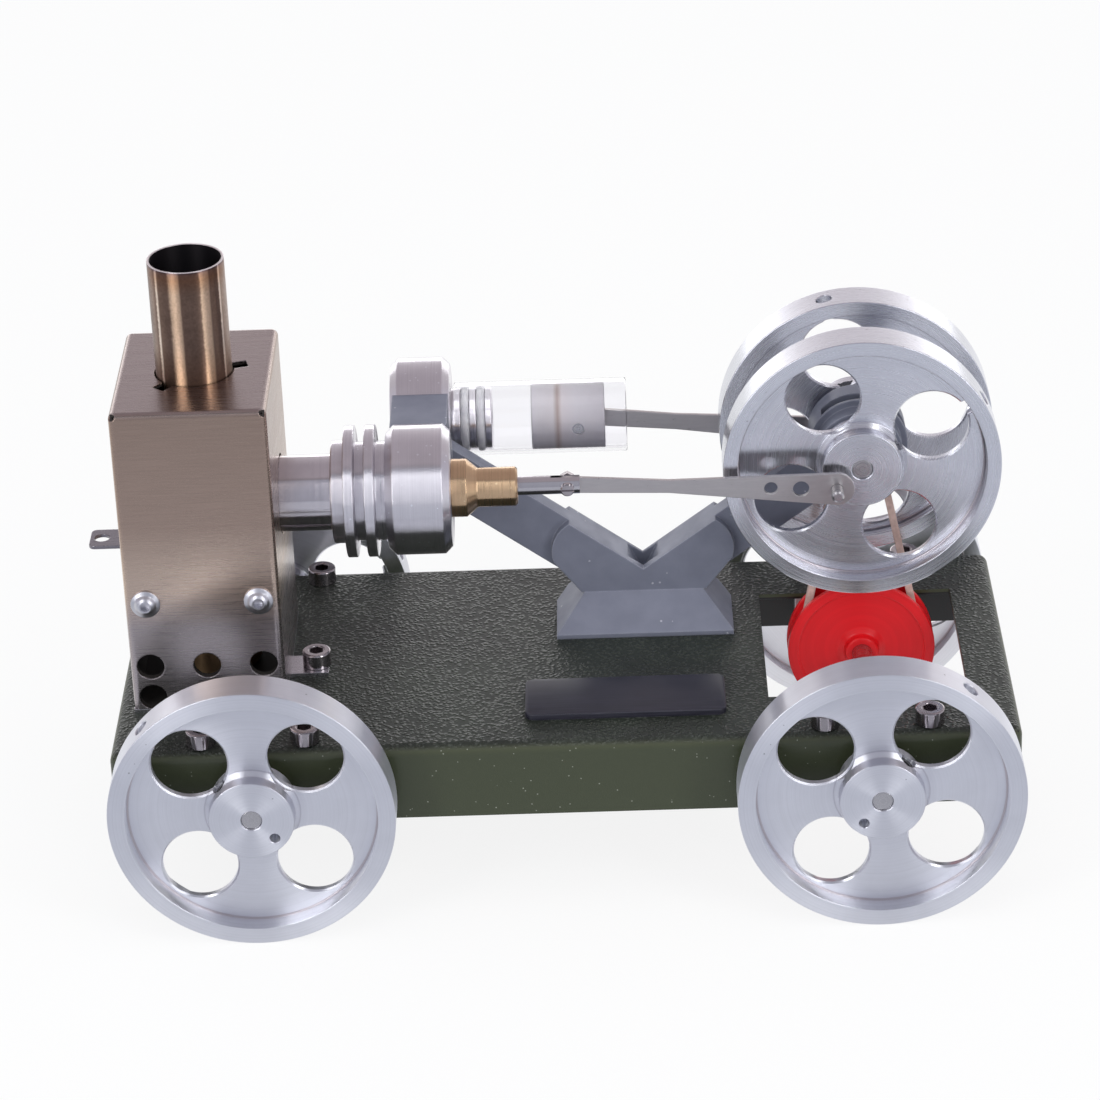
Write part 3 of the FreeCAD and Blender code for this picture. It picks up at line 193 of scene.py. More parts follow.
def makeTurnedRings():
    # tool marks in rings round the local Y axis, and a broad cloud over them
    group, entry, out = startGroup("turnedRings", {"Place": None, "Pitch": 4000.0}, ["Rings", "Broad", "Radius"])
    x, y, z = splitPlace(group, entry["Place"])
    radius = fromAxis(group, x, z)
    across = addNode(group, "ShaderNodeCombineXYZ")
    feed(group, times(group, radius, entry["Pitch"]), across.inputs[0])
    feed(group, times(group, y, entry["Pitch"]), across.inputs[1])
    feed(group, noiseNode(group, across.outputs[0], 1.0, 3.0, 0.6), out["Rings"])
    feed(group, noiseNode(group, entry["Place"], 110.0, 4.0), out["Broad"])
    feed(group, radius, out["Radius"])
    return group


def makeBrushGrain():
    # hair-fine lines along the way in which the stretched place runs slowest
    group, entry, out = startGroup("brushGrain", {"Place": None, "Contrast": 1.0}, ["Grain"])
    centred = mathNode(group, "SUBTRACT", noiseNode(group, entry["Place"], 1.0, 5.0, 0.65), 0.5)
    feed(group, mathNode(group, "MULTIPLY_ADD", centred, entry["Contrast"], 0.5, True), out["Grain"])
    return group


def makeSpecks():
    # sparse small dots, such as dust or flakes in a coat; bright ones on polished metal are painted glints
    group, entry, out = startGroup("specksAndGlints", {"Place": None, "Density": 900.0, "Share": 0.06}, ["Dots"])
    dotSize = 0.34  # part of a cell
    cells = addNode(group, "ShaderNodeTexVoronoi")
    feedNamed(group, cells, Vector=entry["Place"], Scale=entry["Density"])
    chance = addNode(group, "ShaderNodeSeparateColor")
    feed(group, cells.outputs["Color"], chance.inputs[0])
    picked = mathNode(group, "LESS_THAN", chance.outputs[0], entry["Share"])
    near = mathNode(group, "LESS_THAN", cells.outputs["Distance"], dotSize)
    feed(group, times(group, picked, near), out["Dots"])
    return group


def makeSoftEdges():
    # a rounded normal at sharp corners, and a mask along the corners that lightens them: rubbed wear and a painted
    # edge highlight
    group, entry, out = startGroup("softEdges", {"Place": None, "Radius": 0.3 * mm, "Amount": 1.0},
                                   ["Wear", "Normal"])
    rounded = addNode(group, "ShaderNodeBevel", samples=5)
    feed(group, entry["Radius"], rounded.inputs["Radius"])
    turned = oneMinus(group, vectorNode(group, "DOT_PRODUCT", rounded.outputs[0], faceNormal(group)))
    gain = times(group, turned, times(group, noiseNode(group, entry["Place"], 420.0), 12.0))
    feed(group, mathNode(group, "MULTIPLY", gain, entry["Amount"], clamp=True), out["Wear"])
    feed(group, rounded.outputs[0], out["Normal"])
    return group


turnedRings = makeTurnedRings()
brushGrain = makeBrushGrain()
specksAndGlints = makeSpecks()
softEdges = makeSoftEdges()
print("shared effects ready")


def boxMiddle(name):
    low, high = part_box(name)
    return (low + high) / 2


def acrossTangent(tree, shader, centre, axis):
    # a lathe's marks run round the axis, so a highlight stretches across them
    place = objectPlace(tree, tuple(centre))
    around = vectorNode(tree, "CROSS_PRODUCT", axis, place)
    across = vectorNode(tree, "CROSS_PRODUCT", around, faceNormal(tree))
    feed(tree, vectorNode(tree, "NORMALIZE", across), shader.inputs["Tangent"])


def withinSkin(tree, name, skin):
    # 1 deeper than the outer skin of a folded sheet, 0 on it; the sheet is open downwards
    place = splitPlace(tree, objectPlace(tree))
    low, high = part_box(name)
    within = mathNode(tree, "LESS_THAN", place[2], high.z - skin * mm)
    for k in (0, 1):
        within = times(tree, within, mathNode(tree, "GREATER_THAN", place[k], low[k] + skin * mm))
        within = times(tree, within, mathNode(tree, "LESS_THAN", place[k], high[k] - skin * mm))
    return within


def turnedMetal(name, look, centre, axis):
    # axis is "X", "Y" or "Z"; the rings work round Y, so the others are turned onto it
    speckCells, gritCells = 1300.0, 2300.0  # per metre
    material, tree, shader = startMaterial(name)
    turn = {"X": (0, 0, math.radians(90)), "Y": (0, 0, 0), "Z": (math.radians(90), 0, 0)}[axis]
    place = objectPlace(tree, tuple(centre), turn=turn)
    rings = useGroup(tree, turnedRings, Place=place, Pitch=look["pitch"])
    shade = rangeNode(tree, rings["Broad"], 0.3, 0.7, 1 - look["mottle"], 1 + look["mottle"])
    lines = rangeNode(tree, rings["Rings"], 0.25, 0.75, 1 - look["lines"], 1 + look["lines"])
    color = greyTint(tree, times(tree, shade, lines), look["color"])
    if "cornerShade" in look:
        # painted shade: darker rings in the wheel's inner corners, by their radius
        reach = look["cornerShade"][-1][0]
        stops = [(radius / reach, tone) for radius, tone in look["cornerShade"]]
        cornerShaded = rampNode(tree, mathNode(tree, "DIVIDE", rings["Radius"], reach * mm), stops)
        color = mixColor(tree, 1.0, color, cornerShaded, "MULTIPLY")
    if "spots" in look:
        # darker dots are specks; lighter ones on polished steel, tube and brass are painted glints
        dots = useGroup(tree, specksAndGlints, Place=place, Density=speckCells, Share=look["spots"])
        color = mixColor(tree, dots["Dots"], color, look["speckAndGlintColor"])
    shader.inputs["Metallic"].default_value = 1.0
    shader.inputs["Anisotropic"].default_value = look["stretch"]
    direction = {"X": (1, 0, 0), "Y": (0, 1, 0), "Z": (0, 0, 1)}[axis]
    acrossTangent(tree, shader, centre, direction)
    relief = rings["Rings"]
    if "grit" in look:
        relief = mathNode(tree, "MULTIPLY_ADD", noiseNode(tree, place, gritCells), look["grit"], relief)
    rough = rangeNode(tree, rings["Rings"], 0.2, 0.8, look["rough"] - 0.04, look["rough"] + 0.06)
    finishSurface(tree, shader, color, rough, relief, look["relief"])
    return material


wheelLook = {"color": (0.82, 0.83, 0.88), "rough": 0.34, "stretch": 0.92, "pitch": 3300.0,
             "lines": 0.05, "mottle": 0.03, "relief": 0.004, "spots": 0.0015, "speckAndGlintColor": (0.5, 0.5, 0.53)}


def cornerShadeRings(hub, rim):
    # painted shade by radius in mm: dark rings at both ends of the hub's cone, a brown one at the foot of the rim
    plain, brown, dark = (1.0, 1.0, 1.0), (0.66, 0.60, 0.60), (0.66, 0.64, 0.67)
    return [(0, plain), (hub - 0.12, plain), (hub, dark), (hub + 0.2, plain), (hub + 1.0, plain),
            (hub + 1.2, dark), (hub + 1.5, plain), (rim - 0.3, plain), (rim, brown), (rim + 0.32, brown),
            (rim + 0.39, plain), (34.2, plain)]


roadLook = dict(wheelLook, cornerShade=cornerShadeRings(10.1, 29.4))
flyLook = dict(wheelLook, color=(0.78, 0.79, 0.84), stretch=0.78, rough=0.25, lines=0.06,
               cornerShade=cornerShadeRings(9.7, 29.7))
shaftLook = {"color": (0.52, 0.51, 0.52), "rough": 0.26, "stretch": 0.3, "pitch": 3000.0,
             "lines": 0.08, "mottle": 0.06, "relief": 0.003}
sliderLook = dict(shaftLook, color=(0.62, 0.60, 0.62), rough=0.2, lines=0.02, relief=0.0006)
polishedLook = {"color": (0.76, 0.74, 0.78), "rough": 0.29, "stretch": 0.96, "pitch": 2600.0,
                "lines": 0.08, "mottle": 0.06, "relief": 0.006, "grit": 2.4, "spots": 0.05,
                "speckAndGlintColor": (0.92, 0.92, 0.97)}
tubeLook = {"color": (0.70, 0.67, 0.70), "rough": 0.18, "stretch": 0.95, "pitch": 1800.0,
            "lines": 0.05, "mottle": 0.08, "relief": 0.002, "spots": 0.012, "speckAndGlintColor": (0.95, 0.95, 1.0)}
brassLook = {"color": (0.70, 0.49, 0.30), "rough": 0.28, "stretch": 0.9, "pitch": 3500.0,
             "lines": 0.10, "mottle": 0.08, "relief": 0.005, "grit": 1.0, "spots": 0.02,
             "speckAndGlintColor": (0.85, 0.65, 0.42)}
sootyBrassLook = dict(brassLook, color=(0.46, 0.30, 0.17), rough=0.45, stretch=0.3)
nickelLook = {"color": (0.42, 0.39, 0.40), "rough": 0.13, "stretch": 0.3, "pitch": 2500.0,
              "lines": 0.05, "mottle": 0.20, "relief": 0.003}
zincLook = {"color": (0.62, 0.62, 0.66), "rough": 0.33, "stretch": 0.2, "pitch": 2500.0,
            "lines": 0.03, "mottle": 0.05, "relief": 0.002}


def brushedMetal(name, look):
    material, tree, shader = startMaterial(name)
    along = objectPlace(tree, stretch=look["stretchPlace"])
    if "sidePlace" in look:
        # faces that look along X have lines of their own
        sideways = mathNode(tree, "ABSOLUTE", splitPlace(tree, faceNormal(tree))[0])
        sideways = mathNode(tree, "GREATER_THAN", sideways, 0.7)
        aside = vectorNode(tree, "SCALE", objectPlace(tree, stretch=look["sidePlace"]), sideways)
        along = vectorNode(tree, "ADD", vectorNode(tree, "SCALE", along, oneMinus(tree, sideways)), aside)
    brush = useGroup(tree, brushGrain, Place=along, Contrast=look["contrast"])
    grain = rangeNode(tree, brush["Grain"], 0.2, 0.8, 1 - look["lines"], 1 + look["lines"])
    relief = brush["Grain"]
    if "quietTop" in look:
        # lines show less on faces that look up
        up = splitPlace(tree, faceNormal(tree))[2]
        quiet = rangeNode(tree, up, 0.5, 0.95, 1, look["quietTop"], True)
        relief = times(tree, relief, quiet)
        grain = mathNode(tree, "MULTIPLY_ADD", mathNode(tree, "SUBTRACT", grain, 1.0), quiet, 1.0)
    x, y, z = splitPlace(tree, objectPlace(tree))
    base = look.get("color")
    for key, spot in (("byHeight", z), ("byLength", x)):
        if key in look:
            low, high = look["span"]
            base = rampNode(tree, rangeNode(tree, spot, low * mm, high * mm, 0, 1), look[key])
    color = greyTint(tree, grain, base)
    metal = look.get("metal", 1.0)
    sootAndShade = 0.0
    # inside the burner box the colour goes near black: soot, and painted shade that keeps the vent holes dark
    if "inside" in look:
        sootAndShade = withinSkin(tree, look["inside"], look["skin"])
        color = mixColor(tree, sootAndShade, color, look["sootAndShade"])
        metal = oneMinus(tree, sootAndShade)
    edges = useGroup(tree, softEdges, Place=objectPlace(tree), Radius=look["round"] * mm,
                     Amount=look.get("wearAndHighlight", 0.5))
    # edges made lighter: rubbed wear and a painted edge highlight
    if "edge" in look:
        rubbedAndHighlight = edges["Wear"] if sootAndShade == 0.0 else times(tree, edges["Wear"], oneMinus(tree, sootAndShade))
        color = mixColor(tree, rubbedAndHighlight, color, look["edge"])
    feed(tree, metal, shader.inputs["Metallic"])
    rough = rangeNode(tree, brush["Grain"], 0.2, 0.8, look["rough"] - 0.05, look["rough"] + 0.07)
    rough = mathNode(tree, "MAXIMUM", rough, times(tree, sootAndShade, 0.8))
    finishSurface(tree, shader, color, rough, relief, look["relief"], edges["Normal"])
    return material


brushLook = {"contrast": 1.2, "lines": 0.07, "relief": 0.004, "round": 0.2}
boxLook = dict(
    brushLook, span=(46, 124.3), stretchPlace=(70, 2000, 2600), sidePlace=(2000, 70, 2600), contrast=1.4,
    byHeight=[(0.0, (0.44, 0.40, 0.41)), (0.28, (0.45, 0.40, 0.40)), (0.40, (0.63, 0.50, 0.41)),
              (0.47, (0.61, 0.48, 0.39)), (0.62, (0.44, 0.33, 0.27)), (0.985, (0.39, 0.29, 0.235)),
              (1.0, (0.37, 0.31, 0.30))],
    rough=0.27, round=0.35, wearAndHighlight=0.12, edge=(0.80, 0.77, 0.78), inside="burner_box_cover", skin=0.45,
    sootAndShade=(0.022, 0.018, 0.016), quietTop=0.3)
trayLook = dict(brushLook, color=(0.62, 0.61, 0.64), stretchPlace=(200, 1500, 1500),
                sidePlace=(1500, 200, 1500), contrast=1.3, rough=0.24, wearAndHighlight=0.4, edge=(0.85, 0.85, 0.88),
                inside="burner_box_cover", skin=0.3, sootAndShade=(0.020, 0.016, 0.014))
damperLook = dict(brushLook, color=(0.25, 0.235, 0.26), stretchPlace=(250, 1800, 1800), rough=0.28,
                  edge=(0.85, 0.84, 0.86))
rodLook = dict(brushLook, color=(0.56, 0.53, 0.525), stretchPlace=(260, 1500, 1500), rough=0.31, round=0.15,
               wearAndHighlight=0.8, edge=(0.86, 0.84, 0.85))
milledLook = dict(brushLook, color=(0.60, 0.61, 0.64), stretchPlace=(300, 300, 1800), rough=0.36, round=0.3,
                  lines=0.06, relief=0.005, wearAndHighlight=0.4, edge=(0.8, 0.8, 0.83))
pistonLook = {"stretchPlace": (1500, 300, 300), "contrast": 1.0, "lines": 0.035, "rough": 0.46,
              "relief": 0.003, "round": 0.2, "metal": 0.15, "span": (-3.4, 14.9),
              "byLength": [(0.0, (0.60, 0.58, 0.62)), (0.30, (0.58, 0.55, 0.58)), (0.36, (0.38, 0.30, 0.28)),
                           (0.42, (0.58, 0.54, 0.57)), (0.60, (0.55, 0.53, 0.57)), (1.0, (0.46, 0.44, 0.48))]}


def makeDeckPaint():
    # wrinkle coat on the flat top, its valleys darker as painted shade; smoother coat with fine flecks on the
    # skirts, lighter at the fold as a painted highlight; near black inside as painted shade
    look = {"crest": (0.036, 0.043, 0.033), "valley": (0.017, 0.022, 0.016), "skirt": (0.038, 0.046, 0.023),
            "bend": (0.050, 0.057, 0.027), "inside": (0.006, 0.006, 0.006), "fleck": (0.22, 0.23, 0.19),
            "cells": 1300.0, "warpCells": 900.0, "warp": 0.0009, "fleckCells": 2100.0, "fleckShare": 0.014,
            "grainCells": 2600.0, "relief": 0.28, "skin": 0.9, "bendFrom": 42.4, "bendTo": 44.6, "edge": 0.4}
    material, tree, shader = startMaterial("wrinklePaint")
    place = objectPlace(tree, stretch=(0.8, 0.8, 1.0))
    bend = addNode(tree, "ShaderNodeTexNoise")
    feedNamed(tree, bend, Vector=place, Scale=look["warpCells"])
    warp = vectorNode(tree, "SCALE", bend.outputs["Color"], look["warp"])
    cells = addNode(tree, "ShaderNodeTexVoronoi", feature="SMOOTH_F1")
    feedNamed(tree, cells, Vector=vectorNode(tree, "ADD", place, warp), Scale=look["cells"], Smoothness=0.4)
    crest = rangeNode(tree, cells.outputs["Distance"], 0.12, 0.62, 1, 0, True)
    onTop = rangeNode(tree, splitPlace(tree, faceNormal(tree))[2], 0.45, 0.95, 0, 1, True)
    z = splitPlace(tree, objectPlace(tree))[2]
    within = withinSkin(tree, "chassis", look["skin"])
    patches = rangeNode(tree, noiseNode(tree, objectPlace(tree), 60.0, 3.0), 0.35, 0.65, 0.75, 1.2)
    # the valleys of the wrinkles are darker: painted shade
    topColor = greyTint(tree, patches, mixColor(tree, crest, look["valley"], look["crest"]))
    dots = useGroup(tree, specksAndGlints, Place=objectPlace(tree), Density=look["fleckCells"],
                    Share=look["fleckShare"])
    # the top of the skirts by the fold is lighter: a painted highlight on the bend
    bent = rangeNode(tree, z, look["bendFrom"] * mm, look["bendTo"] * mm, 0, 1, True)
    skirt = mixColor(tree, bent, look["skirt"], look["bend"])
    skirt = mixColor(tree, dots["Dots"], skirt, look["fleck"])
    surface = mixColor(tree, onTop, skirt, topColor)
    # near black inside the chassis: painted shade
    color = mixColor(tree, within, surface, look["inside"])
    roughTop = times(tree, rangeNode(tree, crest, 0, 1, 0.45, 0.29), onTop)
    rough = mathNode(tree, "ADD", roughTop, times(tree, oneMinus(tree, onTop), 0.37))
    fine = noiseNode(tree, objectPlace(tree), look["grainCells"])
    height = mathNode(tree, "MULTIPLY_ADD", fine, 0.12, times(tree, crest, onTop))
    edges = useGroup(tree, softEdges, Place=objectPlace(tree), Radius=look["edge"] * mm)
    finishSurface(tree, shader, color, rough, height, look["relief"], edges["Normal"])
    return material


def makeCasting():
    look = {"face": (0.207, 0.220, 0.280), "dark": (0.180, 0.191, 0.246), "edge": (0.44, 0.45, 0.53),
            "dot": (0.45, 0.46, 0.52), "dotCells": 1100.0, "dotShare": 0.008, "cloudCells": 150.0,
            "lumpCells": 700.0, "gritCells": 2600.0, "relief": 0.016, "round": 0.55, "wearAndHighlight": 0.35}
    material, tree, shader = startMaterial("greyCasting")
    place = objectPlace(tree)
    cloud = noiseNode(tree, place, look["cloudCells"], 5.0)
    base = mixColor(tree, rangeNode(tree, cloud, 0.35, 0.65, 0, 1), look["dark"], look["face"])
    dots = useGroup(tree, specksAndGlints, Place=place, Density=look["dotCells"], Share=look["dotShare"])
    dotted = mixColor(tree, dots["Dots"], base, look["dot"])
    edges = useGroup(tree, softEdges, Place=place, Radius=look["round"] * mm, Amount=look["wearAndHighlight"])
    # edges made lighter: rubbed wear and a painted edge highlight
    color = mixColor(tree, edges["Wear"], dotted, look["edge"])
    shader.inputs["Metallic"].default_value = 0.25
    rough = rangeNode(tree, cloud, 0.3, 0.7, 0.50, 0.40)
    lumps, grit = noiseNode(tree, place, look["lumpCells"], 3.0), noiseNode(tree, place, look["gritCells"])
    relief = mathNode(tree, "MULTIPLY_ADD", lumps, 1.6, grit)
    finishSurface(tree, shader, color, rough, relief, look["relief"], edges["Normal"])
    return material


def makeChimneySteel():
    # heat-tinted tube: dark bronze, finely brushed round, with painted reflection bands and a painted highlight at
    # its rim, sooty inside
    dark, goldReflection, paleHighlight, mid = (0.185, 0.124, 0.096), (0.58, 0.42, 0.30), (0.80, 0.68, 0.58), (0.30, 0.22, 0.18)
    look = {"tintAndReflectionStreaks": [
        (0.0, mid), (0.12, dark), (0.20, mid), (0.30, dark), (0.34, mid), (0.362, dark), (0.368, paleHighlight),
        (0.374, paleHighlight), (0.380, dark), (0.432, dark), (0.440, goldReflection), (0.480, goldReflection), (0.488, dark), (0.566, dark),
        (0.574, goldReflection), (0.608, goldReflection), (0.616, dark), (0.650, dark), (0.664, dark), (0.669, paleHighlight),
        (0.674, paleHighlight), (0.679, mid), (0.76, mid), (0.86, dark), (1.0, mid)],
            "byHeight": [(0.0, (1.10, 1.0, 0.88)), (0.35, (1.0, 1.0, 1.0)), (0.80, (1.0, 0.98, 0.96)),
                         (0.93, (0.86, 0.68, 0.56)), (0.975, (0.80, 0.66, 0.62)), (1.0, (0.50, 0.46, 0.62))],
            "inside": (0.030, 0.027, 0.030), "rim": (0.85, 0.80, 0.80), "axis": (-82.2, -1.0), "bore": 8.75,
            "grainCells": 1500.0, "cloudCells": 120.0, "relief": 0.012, "round": 0.25}
    material, tree, shader = startMaterial("bronzedSteel")
    middle = Vector((*look["axis"], 0)) * mm
    low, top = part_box("burner_box_cover")[1].z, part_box("chimney")[1].z
    place = objectPlace(tree, (middle.x, middle.y, 0))
    grain = noiseNode(tree, place, look["grainCells"], 3.0)
    cloud = times(tree, noiseNode(tree, place, look["cloudCells"]), 0.4)
    both = mathNode(tree, "MULTIPLY_ADD", grain, 0.6, cloud)
    x, y, z = splitPlace(tree, place)
    # the heat tint runs in streaks along the tube, and its gold bands and pale lines at fixed angles round it are
    # painted reflections; the front of the tube is half way along the ramp
    around = mathNode(tree, "ARCTAN2", x, times(tree, y, -1.0))
    around = rangeNode(tree, around, -math.pi, math.pi, 0, 1)
    wobble = mathNode(tree, "MULTIPLY_ADD", both, 0.012, -0.006)
    tintAndReflectionStreaks = rampNode(tree, mathNode(tree, "ADD", around, wobble), look["tintAndReflectionStreaks"])
    tone = greyTint(tree, rangeNode(tree, both, 0.34, 0.66, 0.84, 1.14), tintAndReflectionStreaks)
    heat = rampNode(tree, rangeNode(tree, z, low, top, 0, 1), look["byHeight"])
    tone = mixColor(tree, 1.0, tone, heat, "MULTIPLY")
    inner = mathNode(tree, "LESS_THAN", fromAxis(tree, x, y), look["bore"] * mm)
    # the top rim gets a near white colour: a painted highlight
    rim = mathNode(tree, "GREATER_THAN", z, top - 0.05 * mm)
    color = mixColor(tree, rim, mixColor(tree, inner, tone, look["inside"]), look["rim"])
    shader.inputs["Metallic"].default_value = 1.0
    rough = rangeNode(tree, both, 0.35, 0.65, 0.40, 0.31)
    rough = mathNode(tree, "MAXIMUM", rough, times(tree, inner, 0.7))
    shader.inputs["Anisotropic"].default_value = 0.9
    acrossTangent(tree, shader, middle, (0, 0, 1))
    edges = useGroup(tree, softEdges, Place=place, Radius=look["round"] * mm)
    finishSurface(tree, shader, color, rough, grain, look["relief"], edges["Normal"])
    return material


def makeRedPlastic():
    look = {"color": (0.80, 0.010, 0.016), "deep": (0.68, 0.006, 0.010), "pitch": 900.0, "relief": 0.006}
    material, tree, shader = startMaterial("redPlastic")
    place = objectPlace(tree, tuple(boxMiddle("driven_pulley")))
    rings = useGroup(tree, turnedRings, Place=place, Pitch=look["pitch"])
    factor = rangeNode(tree, rings["Rings"], 0.3, 0.7, 0, 0.6)
    color = mixColor(tree, factor, look["color"], look["deep"])
    rough = rangeNode(tree, rings["Broad"], 0.3, 0.7, 0.28, 0.36)
    shader.inputs["Specular IOR Level"].default_value = 0.35
    shader.inputs["Coat Weight"].default_value = 0.05
    shader.inputs["Coat Roughness"].default_value = 0.3
    finishSurface(tree, shader, color, rough, rings["Rings"], look["relief"])
    return material


def makeSoft(name, look):
    # rubber, silicone, gasket, plate coat and other quiet finishes, with fine mottling
    material, tree, shader = startMaterial(name)
    place = objectPlace(tree, stretch=look.get("stretchPlace"))
    cloud = noiseNode(tree, place, look["scale"], 4.0)
    color = mixColor(tree, rangeNode(tree, cloud, 0.35, 0.65, 0, 1), look["dark"], look["light"])
    edges = useGroup(tree, softEdges, Place=objectPlace(tree), Radius=look["round"] * mm, Amount=0.5)
    # edges made lighter: rubbed wear and a painted edge highlight
    color = mixColor(tree, edges["Wear"], color, look.get("edge", look["light"]))
    rough = rangeNode(tree, cloud, 0.3, 0.7, look["rough"], look["rough"] + 0.1)
    finishSurface(tree, shader, color, rough, cloud, look["relief"], edges["Normal"])
    return material


beltLook = {"light": (0.72, 0.52, 0.46), "dark": (0.56, 0.39, 0.34), "scale": 900.0, "rough": 0.5,
            "relief": 0.02, "round": 0.4}
siliconeLook = {"light": (0.80, 0.80, 0.82), "dark": (0.66, 0.66, 0.70), "scale": 500.0, "rough": 0.3,
                "relief": 0.004, "round": 0.1}
gasketLook = {"light": (0.50, 0.29, 0.20), "dark": (0.38, 0.20, 0.14), "scale": 1500.0, "rough": 0.8,
              "relief": 0.03, "round": 0.1}
plateLook = {"light": (0.026, 0.025, 0.038), "dark": (0.012, 0.012, 0.020), "scale": 1.0, "rough": 0.34,
             "relief": 0.004, "round": 0.2, "stretchPlace": (120, 2400, 2400), "edge": (0.16, 0.16, 0.20)}
wickLook = {"light": (0.80, 0.75, 0.64), "dark": (0.55, 0.48, 0.38), "scale": 1400.0, "rough": 0.9,
            "relief": 0.12, "round": 0.2}
grubLook = {"light": (0.05, 0.05, 0.055), "dark": (0.02, 0.02, 0.022), "scale": 900.0, "rough": 0.3,
            "relief": 0.01, "round": 0.15, "edge": (0.3, 0.3, 0.32)}


def makeGlass():
    # clear tube with a faint smear of wipe marks
    smearCells = 240.0
    material, tree, shader = startMaterial("clearGlass")
    shader.inputs["Base Color"].default_value = (0.975, 0.972, 0.99, 1)
    shader.inputs["Transmission Weight"].default_value = 1.0
    shader.inputs["IOR"].default_value = 1.30
    smear = noiseNode(tree, objectPlace(tree), smearCells)
    feed(tree, rangeNode(tree, smear, 0.45, 0.75, 0.0, 0.05), shader.inputs["Roughness"])
    return material


def dressNodes():
    rods, milled = brushedMetal("rodStainless", rodLook), brushedMetal("milledAluminium", milledLook)
    darkScrew = makeSoft("darkScrews", grubLook)
    finishes = {
        "chassis": makeDeckPaint(), "engine_frame": makeCasting(), "chimney": makeChimneySteel(),
        "driven_pulley": makeRedPlastic(), "glass_cylinder": makeGlass(), "displacer_rod": rods,
        "power_rod": rods, "burner_box_cover": brushedMetal("brushedStainless", boxLook),
        "burner_box_tray": brushedMetal("trayStainless", trayLook),
        "damper_slide": brushedMetal("damperStainless", damperLook),
        "power_piston": brushedMetal("frostedPiston", pistonLook),
        "drive_belt": makeSoft("tanRubber", beltLook),
        "glass_seal_rings": makeSoft("whiteSilicone", siliconeLook),
        "hot_tube_gasket": makeSoft("gasketFibre", gasketLook),
        "name_plate": makeSoft("navyPlate", plateLook), "wick": makeSoft("wickCotton", wickLook)}
    finishes.update({name: darkScrew for name in nodes if name.endswith("grub_screws")})
    finishes.update({name: milled for name in nodes if name.endswith("_block")})
    # axis of the turning, look, nodes
    turned = [
        ("Y", roadLook, "free_wheel_near free_wheel_far drive_wheel_near drive_wheel_far"),
        ("Y", flyLook, "front_flywheel rear_flywheel"), ("Y", wheelLook, "crank_pulley"),
        ("Y", shaftLook, "free_axle drive_axle crankshaft free_axle_spacers drive_axle_spacers wrist_pin"),
        ("Y", shaftLook, "crank_bearing_outer_rings crank_bearing_inner_rings"),
        ("Y", shaftLook, "displacer_crank_pin power_crank_pin"), ("Y", polishedLook, "crank_bearing_balls"),
        ("Y", brassLook, "axle_bushes"), ("Y", nickelLook, "clevis_screw clevis_nut"),
        ("Y", zincLook, "cover_screws"), ("X", tubeLook, "hot_tube"), ("X", brassLook, "guide_bush"),
        ("X", polishedLook, "cooler_flange power_cylinder_head displacer"),
        ("X", sliderLook, "displacer_shaft"), ("Z", sootyBrassLook, "burner_tank wick_holder"),
        ("Z", nickelLook, "axle_block_screws frame_base_screws tray_screw")]
    for axis, look, names in turned:
        for name in names.split():
            finishes[name] = turnedMetal(name + "Finish", look, boxMiddle(name), axis)
    for name, piece in nodes.items():
        piece.data.materials.clear()
        piece.data.materials.append(finishes[name])
    return finishes


finishes = dressNodes()
print("nodes dressed")


# mesh helpers: outlines and centres in millimetres
def roundedOutline(corners, closed):
    # each corner is (along, out) or (along, out, rounding)
    steps = 3  # along each rounding
    points = []
    for index, corner in enumerate(corners):
        here = Vector(corner[:2])
        rounding = corner[2] if len(corner) > 2 else 0
        if not rounding or (not closed and index in (0, len(corners) - 1)):
            points.append(here)
            continue
        before = Vector(corners[index - 1][:2]) - here
        after = Vector(corners[(index + 1) % len(corners)][:2]) - here
        half = before.angle(after) / 2
        spans = before.length, after.length
        reach = min(rounding / math.tan(half), 0.45 * spans[0], 0.45 * spans[1])
        before.normalize()
        after.normalize()
        middle = here + (before + after).normalized() * reach / math.cos(half)
        first = here + before * reach - middle
        last = here + after * reach - middle
        sweep = math.pi - 2 * half
        # a point just beside the rounding keeps the flat next to it flat when it is shaded
        hold = reach + 0.05
        if hold < 0.49 * spans[0]:
            points.append(here + before * hold)
        for k in range(steps + 1):
            part = k / steps
            points.append(middle + (first * math.sin((1 - part) * sweep) + last * math.sin(part * sweep))
                          / math.sin(sweep))
        if hold < 0.49 * spans[1]:
            points.append(here + after * hold)
    return points


def spunShape(corners, centre, axis, steps):
    # turns an outline of (along, out) round an axis through centre; one that starts on the axis stays open
    closed = corners[0][1] > 0
    shape = bmesh.new()
    centre, along = Vector(centre) * mm, Vector(axis)
    out = Vector((0, 0, 1)) if abs(along.z) < 0.5 else Vector((1, 0, 0))
    out = (out - along * out.dot(along)).normalized()
    verts = [shape.verts.new(centre + (along * a + out * r) * mm) for a, r in roundedOutline(corners, closed)]
    pairs = list(zip(verts, verts[1:]))
    if closed:
        pairs.append((verts[-1], verts[0]))
    edges = [shape.edges.new(pair) for pair in pairs]
    bmesh.ops.spin(shape, geom=verts + edges, cent=centre, axis=along, dvec=(0, 0, 0),
                   angle=2 * math.pi, steps=steps, use_merge=True, use_duplicate=False)
    bmesh.ops.remove_doubles(shape, verts=shape.verts, dist=1e-7)
    bmesh.ops.recalc_face_normals(shape, faces=shape.faces)
    return shape


def addObject(name, data):
    piece = bpy.data.objects.new(name, data)
    bpy.context.scene.collection.objects.link(piece)
    return piece


def looseObject(name, shape):
    mesh = bpy.data.meshes.new(name)
    shape.to_mesh(mesh)
    shape.free()
    return addObject(name, mesh)


